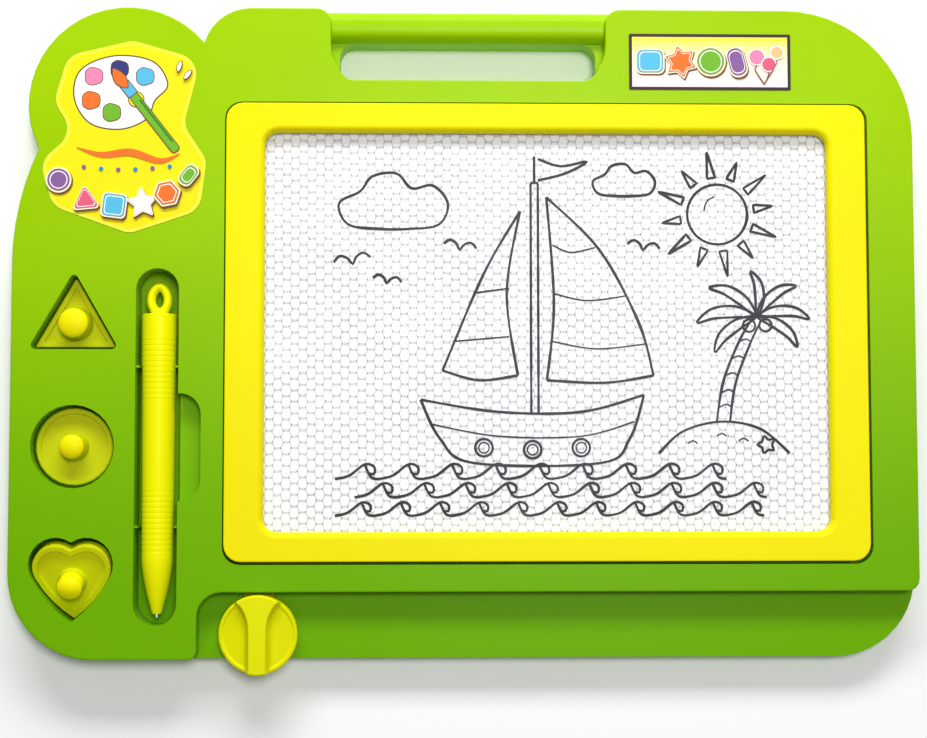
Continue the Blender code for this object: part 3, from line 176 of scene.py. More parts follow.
class Value:
    """A number that varies over a surface: a socket that takes part in arithmetic."""

    def __init__(self, wires: Wires, socket: bpy.types.NodeSocket) -> None:
        """Wraps the socket."""
        self.wires = wires
        self.socket = socket

    def _with(self, operation: str, *operands: Any) -> "Value":
        """Adds a Math node on the operands."""
        return self.wires.value("ShaderNodeMath", 0, {"operation": operation}, dict(enumerate(operands)))

    def __add__(self, other: Any) -> "Value":
        """Sum."""
        return self._with("ADD", self, other)

    __radd__ = __add__

    def __sub__(self, other: Any) -> "Value":
        """Difference."""
        return self._with("SUBTRACT", self, other)

    def __mul__(self, other: Any) -> "Value":
        """Product."""
        return self._with("MULTIPLY", self, other)

    def __truediv__(self, other: Any) -> "Value":
        """Quotient."""
        return self._with("DIVIDE", self, other)

    def sine(self) -> "Value":
        """Sine."""
        return self._with("SINE", self)

    def rounded(self) -> "Value":
        """Nearest whole number."""
        return self._with("ROUND", self)

    def wrapped(self, span: float) -> "Value":
        """What is left after whole spans are taken off."""
        return self._with("FLOORED_MODULO", self, span)

    def at_most(self, other: Any) -> "Value":
        """The smaller of the two."""
        return self._with("MINIMUM", self, other)

    def at_least(self, other: Any) -> "Value":
        """The larger of the two."""
        return self._with("MAXIMUM", self, other)

    def ramp(self, low: float, high: float) -> "Value":
        """A smooth step that is 0 up to low and 1 from high on."""
        settings = {"interpolation_type": "SMOOTHSTEP"}
        return self.wires.value("ShaderNodeMapRange", 0, settings, {0: self, 1: low, 2: high})


class Paint(Wires):
    """The node tree of one material."""

    def __init__(self, name: str) -> None:
        """Makes the material with its shader and its object coordinates.

        Args:
            name: The material's name.
        """
        self.material = bpy.data.materials.new(name)
        self.material.use_nodes = True
        super().__init__(self.material.node_tree)
        self.shader = self.tree.nodes["Principled BSDF"]
        self.place = self.node("ShaderNodeTexCoord").outputs["Object"]

    def axes(self) -> tuple[Value, Value, Value]:
        """The object coordinates one by one."""
        split = self.node("ShaderNodeSeparateXYZ", None, {0: self.place})
        x, y, z = (Value(self, output) for output in split.outputs)
        return x, y, z

    def noise(self, scale: float, detail: float = 2.0, stretch: Sequence[float] = (1, 1, 1)) -> Value:
        """Noise over the object.

        Args:
            scale: Patches to the metre.
            detail: Octaves.
            stretch: Scale along each axis.

        Returns:
            Numbers about 0.5.
        """
        mapped = self.node("ShaderNodeMapping", None, {0: self.place, 3: tuple(stretch)}).outputs[0]
        inputs = {"Vector": mapped, "Scale": scale, "Detail": detail}
        return self.value("ShaderNodeTexNoise", 0, None, inputs)

    def bump(self, height: Value, depth: float, strength: float = 1.0) -> None:
        """Presses a height pattern into the surface."""
        inputs = {"Strength": strength, "Distance": depth, "Height": height}
        self.wire(self.shader.inputs["Normal"], self.node("ShaderNodeBump", None, inputs).outputs[0])

    def dress(self, **sockets: Any) -> bpy.types.Material:
        """Sets the shader's sockets.

        Args:
            sockets: A value, colour, socket or Value for each socket, with _ for a space.

        Returns:
            The finished material.
        """
        for name, value in sockets.items():
            is_colour = isinstance(value, tuple) and len(value) == 3
            self.wire(self.shader.inputs[name.replace("_", " ")], (*value, 1) if is_colour else value)
        return self.material


# Finishes

@dataclass(frozen=True)
class MouldedPlastic:
    """Glossy to satin moulded plastic with faint flow clouds, grain and handling scuffs, and painted shade
    towards the front where a front colour is given.
    """

    name: str
    colour: Colour
    deep: Colour
    roughness: float = 0.28
    grain: float = 0.00004
    grain_scale: float = 1500
    specular: float = 0.07
    # front: a painted shade colour that the plastic turns to towards the shelf, where the light falls off
    front: Optional[Colour] = None
    painted_shade_reach: float = 0.11
    cloud_scale: float = 14
    flow_scale: float = 60
    scuff_scale: float = 240

    def material(self) -> bpy.types.Material:
        """Builds the material; a front colour, where there is one, is painted shade that darkens it
        towards the shelf.
        """
        paint = Paint(self.name)
        clouds = paint.noise(self.cloud_scale, 3).ramp(0.3, 0.7)
        flow = paint.noise(self.flow_scale, 2, (1, 0.25, 1))
        grain = paint.noise(self.grain_scale, 2)
        scuffs = paint.noise(self.scuff_scale, 4, (1, 0.12, 1)).ramp(0.66, 0.78)
        share = (clouds * 0.7 + flow * 0.3).at_most(1)
        colour = paint.blend(share, self.deep, self.colour)
        # Painted shade: darker towards the front, where less light falls.
        if self.front:
            towards = paint.axes()[1].ramp(self.painted_shade_reach, -self.painted_shade_reach)
            colour = paint.blend(towards, colour, self.front)
        roughness = self.roughness + clouds * 0.04 + (grain - 0.5) * 0.06 + scuffs * 0.1
        paint.bump(grain + scuffs * 0.5, self.grain)
        return paint.dress(Base_Color=colour, Roughness=roughness, Specular_IOR_Level=self.specular)


@dataclass(frozen=True)
class ClearFilm:
    """Clear drawing film: a thin satin skin with hair scratches that lets the cells show through."""

    name: str
    colour: Colour
    alpha: float
    roughness: float = 0.22
    haze_scale: float = 30
    scratch_scale: float = 900

    def material(self) -> bpy.types.Material:
        """Builds the material."""
        paint = Paint(self.name)
        haze = paint.noise(self.haze_scale, 3)
        scratches = paint.noise(self.scratch_scale, 2, (1, 0.04, 1)).ramp(0.62, 0.75)
        crossed = paint.noise(self.scratch_scale, 2, (0.04, 1, 1)).ramp(0.64, 0.77)
        marks = scratches.at_least(crossed)
        paint.bump(marks, 0.00001, 0.4)
        roughness = self.roughness + haze * 0.08 + marks * 0.12
        return paint.dress(Base_Color=self.colour, Alpha=self.alpha, Roughness=roughness)


@dataclass(frozen=True)
class CellPaper:
    """White filling of the cells: milky liquid with faint cloudy patches and specks of powder."""

    name: str
    colour: Colour
    shade: Colour
    milk_scale: float = 22
    speck_scale: float = 700

    def material(self) -> bpy.types.Material:
        """Builds the material."""
        paint = Paint(self.name)
        milk = paint.noise(self.milk_scale, 4).ramp(0.35, 0.75)
        specks = paint.noise(self.speck_scale, 3).ramp(0.45, 0.9)
        colour = paint.blend(milk * 0.35 + specks * 0.25, self.colour, self.shade)
        paint.bump(specks, 0.00003)
        return paint.dress(Base_Color=colour, Roughness=0.55 + milk * 0.1)


@dataclass(frozen=True)
class CellWall:
    """Greyish walls of the honeycomb, in darker and lighter patches."""

    name: str
    colour: Colour
    shade: Colour
    patch_scale: float = 55
    grain_scale: float = 900

    def material(self) -> bpy.types.Material:
        """Builds the material."""
        paint = Paint(self.name)
        patches = paint.noise(self.patch_scale, 3).ramp(0.3, 0.7)
        grain = paint.noise(self.grain_scale, 2)
        colour = paint.blend(patches * 0.75 + grain * 0.25, self.colour, self.shade)
        return paint.dress(Base_Color=colour, Roughness=0.5 + grain * 0.1)


@dataclass(frozen=True)
class MagneticPowder:
    """Dark powder drawn up by the pen, thinner in places."""

    name: str
    colour: Colour
    thin: Colour
    sweep_scale: float = 26
    cell_scale: float = 420

    def material(self) -> bpy.types.Material:
        """Builds the material."""
        paint = Paint(self.name)
        sweep = paint.noise(self.sweep_scale, 2).ramp(0.42, 0.68)
        cells = paint.noise(self.cell_scale, 2).ramp(0.5, 0.85)
        colour = paint.blend((sweep * 0.45 + cells * 0.35).at_most(1), self.colour, self.thin)
        paint.bump(cells, 0.00003)
        return paint.dress(Base_Color=colour, Roughness=0.6 + cells * 0.15, Specular_IOR_Level=0.05)


@dataclass(frozen=True)
class PrintedInk:
    """Print on a label: each face's own ink under a thin gloss, with a fine halftone."""

    name: str
    dots: float = 2600
    wear_scale: float = 160
    specular: float = 0.08

    def material(self) -> bpy.types.Material:
        """Builds the material."""
        paint = Paint(self.name)
        ink = paint.node("ShaderNodeAttribute", {"attribute_name": "ink"}).outputs["Color"]
        x, y, _ = paint.axes()
        halftone = ((x + y) * self.dots).sine() * ((x - y) * self.dots).sine()
        lift = paint.blend((halftone * 0.5 + 0.5) * 0.02, ink, (1.0, 1.0, 1.0))
        wear = paint.noise(self.wear_scale, 3).ramp(0.5, 0.8)
        paint.bump(wear, 0.00001)
        roughness = 0.34 + wear * 0.12
        return paint.dress(Base_Color=lift, Roughness=roughness, Specular_IOR_Level=self.specular)


@dataclass(frozen=True)
class ZincSteel:
    """Plated steel with fine turning marks."""

    name: str
    colour: Colour
    roughness: float = 0.28
    mark_scale: float = 2400
    spangle_scale: float = 500

    def material(self) -> bpy.types.Material:
        """Builds the material."""
        paint = Paint(self.name)
        marks = paint.noise(self.mark_scale, 2, (1, 1, 0.1))
        spangle = paint.noise(self.spangle_scale, 2).ramp(0.4, 0.7)
        colour = paint.blend(spangle * 0.3, self.colour, tuple(c * 0.75 for c in self.colour))
        paint.bump(marks, 0.00001)
        return paint.dress(Base_Color=colour, Metallic=1.0, Roughness=self.roughness + marks * 0.14)


@dataclass(frozen=True)
class MagnetRubber:
    """Dark bonded magnet sheet: matte, with a powdery grain and rolling lines."""

    name: str
    colour: Colour
    grain_scale: float = 1800
    line_scale: float = 500

    def material(self) -> bpy.types.Material:
        """Builds the material."""
        paint = Paint(self.name)
        grain = paint.noise(self.grain_scale, 3)
        lines = paint.noise(self.line_scale, 2, (0.1, 1, 1))
        colour = paint.blend(grain * 0.6, self.colour, tuple(c * 2.2 for c in self.colour))
        paint.bump(grain * 0.6 + lines * 0.4, 0.00004)
        return paint.dress(Base_Color=colour, Roughness=0.7 + grain * 0.15)


@dataclass(frozen=True)
class StudioFloor:
    """Pale matte floor of the studio."""

    name: str
    colour: Colour
    mottle_scale: float = 6

    def material(self) -> bpy.types.Material:
        """Builds the material."""
        paint = Paint(self.name)
        mottle = paint.noise(self.mottle_scale, 2)
        colour = paint.blend(mottle * 0.1, self.colour, tuple(c * 0.97 for c in self.colour))
        return paint.dress(Base_Color=colour, Roughness=0.9, Specular_IOR_Level=0.1)


class Finish(Enum):
    """Every finish on the board."""

    # The shell's front colour is painted shade: darker green towards the shelf, where less light falls.
    SHELL = MouldedPlastic(
        "green_shell", linear(157, 201, 3), linear(151, 196, 1), front=linear(107, 170, 1)
    )
    COVER = MouldedPlastic("green_cover", linear(138, 190, 3), linear(128, 182, 1), 0.5, 0.00008, 900)
    YELLOW = MouldedPlastic("yellow_bezel", linear(240, 229, 2), linear(236, 222, 1), 0.36)
    PEN = MouldedPlastic("yellow_pen", linear(238, 238, 3), linear(234, 233, 1), 0.3)
    KNOB = MouldedPlastic("yellow_knob", linear(226, 227, 3), linear(219, 220, 1), 0.4, 0.00006, 1100)
    # The arm's dark mustard is painted shade: the arm lies in the shadow of the step.
    ARM_PAINTED_SHADE = MouldedPlastic("yellow_arm_painted_shade", linear(150, 140, 4), linear(140, 130, 2), 0.5, 0.00006, 1100)
    # Stamp plates carry painted shade and a painted green reflection of the recess walls; the knobs keep
    # the stamps' own yellow.
    STAMP_PLATE_PAINTED_SHADE = MouldedPlastic("yellow_stamp", linear(196, 202, 12), linear(184, 192, 8), 0.38)
    STAMP_KNOB = MouldedPlastic("yellow_stamp_knob", linear(236, 226, 4), linear(230, 219, 2), 0.36)
    # The heart's plate and knob are painted lighter, painted light against the shade of its deep, tilted
    # recess; its plate also keeps the painted shade and green reflection.
    HEART = MouldedPlastic("yellow_heart", linear(212, 217, 12), linear(200, 207, 8), 0.38)
    HEART_KNOB_PAINTED_LIGHT = MouldedPlastic("yellow_heart_knob", linear(254, 246, 5), linear(249, 241, 3), 0.36)
    FILM = ClearFilm("drawing_film", linear(236, 238, 240), 0.025)
    BACK_FILM = ClearFilm("back_film", linear(236, 236, 236), 0.9, 0.4)
    CELLS = CellPaper("cell_filling", linear(249, 248, 249), linear(240, 238, 241))
    WALLS = CellWall("cell_walls", linear(221, 222, 227), linear(201, 202, 209))
    POWDER = MagneticPowder("magnetic_powder", linear(10, 14, 19), linear(52, 60, 68))
    LABEL = PrintedInk("label_print")
    STEEL = ZincSteel("zinc_steel", (0.66, 0.66, 0.64))
    RUBBER = MagnetRubber("magnet_rubber", (0.03, 0.03, 0.032))
    FLOOR = StudioFloor("studio_floor", (0.96, 0.96, 0.95))

    def made(self) -> bpy.types.Material:
        """The finish's material, built on first use."""
        found = bpy.data.materials.get(self.value.name)
        return found or self.value.material()


class Grower(Wires):
    """A Geometry Nodes tree with named inputs, which ends in one plain mesh."""

    def __init__(self, name: str, sizes: dict[str, Union[float, int, Vector]], finish: Finish) -> None:
        """Makes the tree with an input for each size.

        Args:
            name: The tree's name.
            sizes: Each input's name and value.
            finish: The finish of what grows.
        """
        super().__init__(bpy.data.node_groups.new(name, "GeometryNodeTree"))
        self.sizes = sizes
        self.finish = finish
        self.identifiers: dict[str, str] = {}
        face = self.tree.interface
        face.new_socket("Geometry", in_out="INPUT", socket_type="NodeSocketGeometry")
        face.new_socket("Geometry", in_out="OUTPUT", socket_type="NodeSocketGeometry")
        kinds = {float: "NodeSocketFloat", int: "NodeSocketInt", Vector: "NodeSocketVector"}
        for label, value in sizes.items():
            socket = face.new_socket(label, in_out="INPUT", socket_type=kinds[type(value)])
            self.identifiers[label] = socket.identifier
        self.entry = self.node("NodeGroupInput")
        self.exit = self.node("NodeGroupOutput")

    def size(self, label: str) -> Value:
        """One of the named inputs."""
        return Value(self, self.entry.outputs[label])

    def vector(self, x: Any = 0.0, y: Any = 0.0, z: Any = 0.0) -> bpy.types.NodeSocket:
        """Three numbers as a vector."""
        return self.node("ShaderNodeCombineXYZ", None, {0: x, 1: y, 2: z}).outputs[0]

    def along(self, operation: str, *operands: Any) -> bpy.types.NodeSocket:
        """Adds a Vector Math node.

        Args:
            operation: Its operation.
            operands: The vectors that it works on, or a vector and a number where it scales.

        Returns:
            The vector that comes out.
        """
        inputs = dict(enumerate(operands))
        if operation == "SCALE":
            inputs["Scale"] = inputs.pop(1)
        return self.node("ShaderNodeVectorMath", {"operation": operation}, inputs).outputs[0]

    def wander(self, scale: float, detail: float = 1.0) -> bpy.types.NodeSocket:
        """A smooth random vector at each point, shifted by the tree's seed.

        Args:
            scale: Patches to the metre.
            detail: Octaves.

        Returns:
            Vectors about zero.
        """
        place = self.node("GeometryNodeInputPosition").outputs[0]
        seeded = self.along("ADD", place, self.vector(self.size("Seed")))
        noise = self.node("ShaderNodeTexNoise", None, {"Vector": seeded, "Scale": scale, "Detail": detail})
        return self.along("SUBTRACT", noise.outputs["Color"], (0.5, 0.5, 0.5))

    def end(self, geometry: bpy.types.NodeSocket) -> None:
        """Realizes the instances, sets the material and closes the tree."""
        real = self.node("GeometryNodeRealizeInstances", None, {0: geometry}).outputs[0]
        coated = self.node("GeometryNodeSetMaterial", None, {0: real, "Material": self.finish.made()})
        self.wire(self.exit.inputs[0], coated.outputs[0])

    def grow(self, name: str, seedling: Optional[bpy.types.Mesh] = None) -> bpy.types.Object:
        """Runs the tree once.

        Args:
            name: The piece's name.
            seedling: The mesh that the tree starts from, if it needs one.

        Returns:
            The piece, a plain mesh at the origin.
        """
        obj = link(name, seedling or bpy.data.meshes.new(name))
        modifier = obj.modifiers.new(self.tree.name, "NODES")
        modifier.node_group = self.tree
        for label, identifier in self.identifiers.items():
            modifier[identifier] = self.sizes[label]
        plain(obj)
        return obj


# Shapes

def link(name: str, mesh: bpy.types.Mesh) -> bpy.types.Object:
    """Puts a mesh in the scene."""
    obj = bpy.data.objects.new(name, mesh)
    bpy.context.scene.collection.objects.link(obj)
    return obj


def plain(obj: bpy.types.Object) -> bpy.types.Object:
    """Turns the object's modifiers into its mesh.

    Args:
        obj: The object.

    Returns:
        The same object.
    """
    bpy.context.view_layer.update()
    mesh = bpy.data.meshes.new_from_object(obj.evaluated_get(bpy.context.evaluated_depsgraph_get()))
    old = obj.data
    obj.modifiers.clear()
    obj.data = mesh
    mesh.name = obj.name
    bpy.data.meshes.remove(old)
    return obj


def arc(centre: Sequence[float], radius: float, start: float, end: float, steps: int) -> Outline:
    """Points of an arc, both ends included."""
    turns = [start + (end - start) * i / steps for i in range(steps + 1)]
    return [Vector((centre[0] + radius * math.cos(t), centre[1] + radius * math.sin(t))) for t in turns]


def circle(centre: Sequence[float], radius: float, steps: int = 48) -> Outline:
    """Circle, anticlockwise."""
    return arc(centre, radius, 0, 2 * math.pi, steps)[:-1]


def rounded(corners: Sequence[tuple[float, float, float]], steps: int = 8) -> Outline:
    """Closed outline through (x, y, radius) corners.

    Args:
        corners: The corners in order.
        steps: Chords to each round.

    Returns:
        The outline.
    """
    points: Outline = []
    for i, (x, y, radius) in enumerate(corners):
        corner = Vector((x, y))
        back = (Vector(corners[i - 1][:2]) - corner).normalized()
        ahead = (Vector(corners[(i + 1) % len(corners)][:2]) - corner).normalized()
        half = back.angle(ahead) / 2
        centre = corner + (back + ahead).normalized() * radius / math.sin(half)
        first = corner + back * radius / math.tan(half) - centre
        last = corner + ahead * radius / math.tan(half) - centre
        start = math.atan2(first.y, first.x)
        turn = math.atan2(first.x * last.y - first.y * last.x, first.dot(last))
        points += arc(centre, radius, start, start + turn, steps)
    return points


def smooth_path(points: Sequence[Sequence[float]], closed: bool = False, steps: int = 8) -> Outline:
    """Smooth line through the points.

    Args:
        points: The points.
        closed: True where the line comes back to its start.
        steps: Chords from one point to the next.

    Returns:
        The line's points.
    """
    knots = [Vector(p) for p in points]
    count = len(knots)
    line: Outline = []
    for i in range(count if closed else count - 1):
        before = knots[(i - 1) % count] if closed or i else knots[0]
        here, there = knots[i], knots[(i + 1) % count]
        after = knots[(i + 2) % count] if closed or i + 2 < count else there
        for step in range(steps):
            t = step / steps
            bend = 2 * before - 5 * here + 4 * there - after
            twist = 3 * here - before - 3 * there + after
            line.append(0.5 * (2 * here + (there - before) * t + bend * t**2 + twist * t**3))
    return line if closed else line + [knots[-1]]


def placed(points: Sequence[Vector], x: float, y: float, turn: float = 0.0, size: float = 1.0) -> Outline:
    """An outline turned, scaled and moved."""
    cos, sin = math.cos(turn) * size, math.sin(turn) * size
    return [Vector((x + p.x * cos - p.y * sin, y + p.x * sin + p.y * cos)) for p in points]


def grown(points: Sequence[Vector], distance: float) -> Outline:
    """An outline moved outwards at each corner.

    Args:
        points: The anticlockwise outline.
        distance: How far, below zero for inwards.

    Returns:
        The moved outline.
    """
    moved: Outline = []
    for i, point in enumerate(points):
        before = (point - points[i - 1]).normalized()
        after = (points[(i + 1) % len(points)] - point).normalized()
        out = Vector((before.y + after.y, -before.x - after.x))
        out = out.normalized() if out.length > 0 else Vector((before.y, -before.x))
        lean = max(0.5, out.dot(Vector((before.y, -before.x))))
        moved.append(point + out * distance / lean)
    return moved


def smoothed(obj: bpy.types.Object, angle: float = 38.0) -> bpy.types.Object:
    """Smooth shading, led by the large faces.

    Args:
        obj: The object.
        angle: Edges where faces meet at more than these degrees stay sharp.

    Returns:
        The same object.
    """
    obj.data.shade_smooth()
    obj.data.set_sharp_from_angle(angle=math.radians(angle))
    weights = obj.modifiers.new("flat_faces", "WEIGHTED_NORMAL")
    weights.keep_sharp = True
    return plain(obj)


@dataclass(frozen=True)
class Round:
    """A rounding of some edges of a piece."""

    size: float
    picks: Callable[[bmesh.types.BMEdge], bool]
    segments: int = 3


def convex_over(degrees: float) -> Callable[[bmesh.types.BMEdge], bool]:
    """Test for outer edges that turn by more than the angle."""
    return lambda edge: edge.is_convex and edge.calc_face_angle(0) > math.radians(degrees)


def top_edges(height: float, reach: float = 0.00002) -> Callable[[bmesh.types.BMEdge], bool]:
    """Test for the outer edges of a flat top at the height."""
    sharp = convex_over(50)
    return lambda edge: all(abs(v.co.z - height) < reach for v in edge.verts) and sharp(edge)


def cad_copy(node: str, name: str, rounds: Sequence[Round] = ()) -> bpy.types.Object:
    """Copies a CAD node, joins its loose triangles and rounds its edges.

    Args:
        node: The node.
        name: The piece's name.
        rounds: The roundings, in order.

    Returns:
        The piece at the origin.
    """
    shape = bmesh.new()
    shape.from_mesh(frame["nodes"][node].data)
    bmesh.ops.remove_doubles(shape, verts=shape.verts[:], dist=0.000002)
    bmesh.ops.dissolve_limit(
        shape, angle_limit=math.radians(0.4), verts=shape.verts[:], edges=shape.edges[:], delimit=set()
    )
    for rounding in rounds:
        edges = [e for e in shape.edges if len(e.link_faces) == 2 and rounding.picks(e)]
        bmesh.ops.bevel(
            shape, geom=edges, offset=rounding.size, segments=rounding.segments, profile=0.5,
            affect="EDGES", clamp_overlap=True,
        )
    mesh = bpy.data.meshes.new(name)
    shape.to_mesh(mesh)
    shape.free()
    # The normals that come along from the node would hide the sharp edges.
    mesh.attributes.remove(mesh.attributes["custom_normal"])
    return smoothed(link(name, mesh))


def show(
    obj: bpy.types.Object, body: str, finish: Optional[Finish] = None,
    stands_for: Sequence[str] = (),
) -> bpy.types.Object:
    """Gives a piece its finish and its place among the bodies.

    Args:
        obj: The piece.
        body: The body that it rides on.
        finish: Its finish, or None where its materials are set already.
        stands_for: The CAD nodes that it replaces.

    Returns:
        The piece.
    """
    if finish:
        obj.data.materials.clear()
        obj.data.materials.append(finish.made())
    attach(obj, body)
    if stands_for:
        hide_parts(*stands_for)
    LOG.info("%s rides on %s with %d faces", obj.name, body, len(obj.data.polygons))
    return obj


def banded(shape: bmesh.types.BMesh, rings: Sequence[Sequence[bmesh.types.BMVert]]) -> None:
    """Fills the bands between rings of equally many points, or of one point where they close.

    Args:
        shape: The shape that the rings are in.
        rings: The rings in order.
    """
    for one, other in zip(rings, rings[1:]):
        steps = max(len(one), len(other))
        for i in range(steps):
            j = (i + 1) % steps
            corners = [one[i % len(one)], one[j % len(one)], other[j % len(other)], other[i % len(other)]]
            shape.faces.new(list(dict.fromkeys(corners)))


def outward(shape: bmesh.types.BMesh, name: str, angle: float) -> bpy.types.Object:
    """Makes a piece of a closed shape, with its faces outwards.

    Args:
        shape: The shape, which is freed.
        name: The piece's name.
        angle: Edges where faces meet at more than these degrees stay sharp.

    Returns:
        The piece.
    """
    bmesh.ops.recalc_face_normals(shape, faces=shape.faces[:])
    mesh = bpy.data.meshes.new(name)
    shape.to_mesh(mesh)
    shape.free()
    return smoothed(link(name, mesh), angle)


def turned(
    name: str, profile: Sequence[tuple[float, float]], origin: Sequence[float], steps: int = 96
) -> bpy.types.Object:
    """A shape turned about an axis along Y.

    Args:
        name: The piece's name.
        profile: Its half section as (radius, place along Y) from the origin, both ends on the axis.
        origin: The axis's start.
        steps: Faces round it.

    Returns:
        The piece.
    """
    shape = bmesh.new()
    x, y, z = origin
    rings = []
    for radius, along in profile:
        turns = [2 * math.pi * i / steps for i in range(steps if radius > 0 else 1)]
        ring = [(x + radius * math.cos(t), y + along, z + radius * math.sin(t)) for t in turns]
        rings.append([shape.verts.new(point) for point in ring])
    banded(shape, rings)
    return outward(shape, name, 50)


# Sub-assemblies

@dataclass
class Housing:
    """The green moulding and its cover."""

    face: float = 0.0200
    mouth_round: float = 0.00055
    cover_round: float = 0.0004

    def build(self) -> None:
        """Dresses the housing, whose openings have small rounds, and the cover."""
        rounds = (Round(self.mouth_round, top_edges(self.face)),)
        shell = cad_copy("front_housing", "shell", rounds)
        show(shell, "board", Finish.SHELL, ("front_housing",))
        cover = cad_copy("back_cover", "cover", (Round(self.cover_round, top_edges(0.0)),))
        show(cover, "board", Finish.COVER, ("back_cover",))


class Screws:
    """The nine screws of the cover."""

    def build(self) -> None:
        """Dresses each screw."""
        for node in sorted(frame["nodes"]):
            if node.startswith("screw_"):
                piece = cad_copy(node, node.replace("screw_", "fastener_"))
                show(piece, "board", Finish.STEEL, (node,))


class Bezel:
    """The yellow frame round the screen."""

    def build(self) -> None:
        """Dresses the frame."""
        piece = cad_copy("bezel_frame", "bezel")
        show(piece, "board", Finish.YELLOW, ("bezel_frame",))


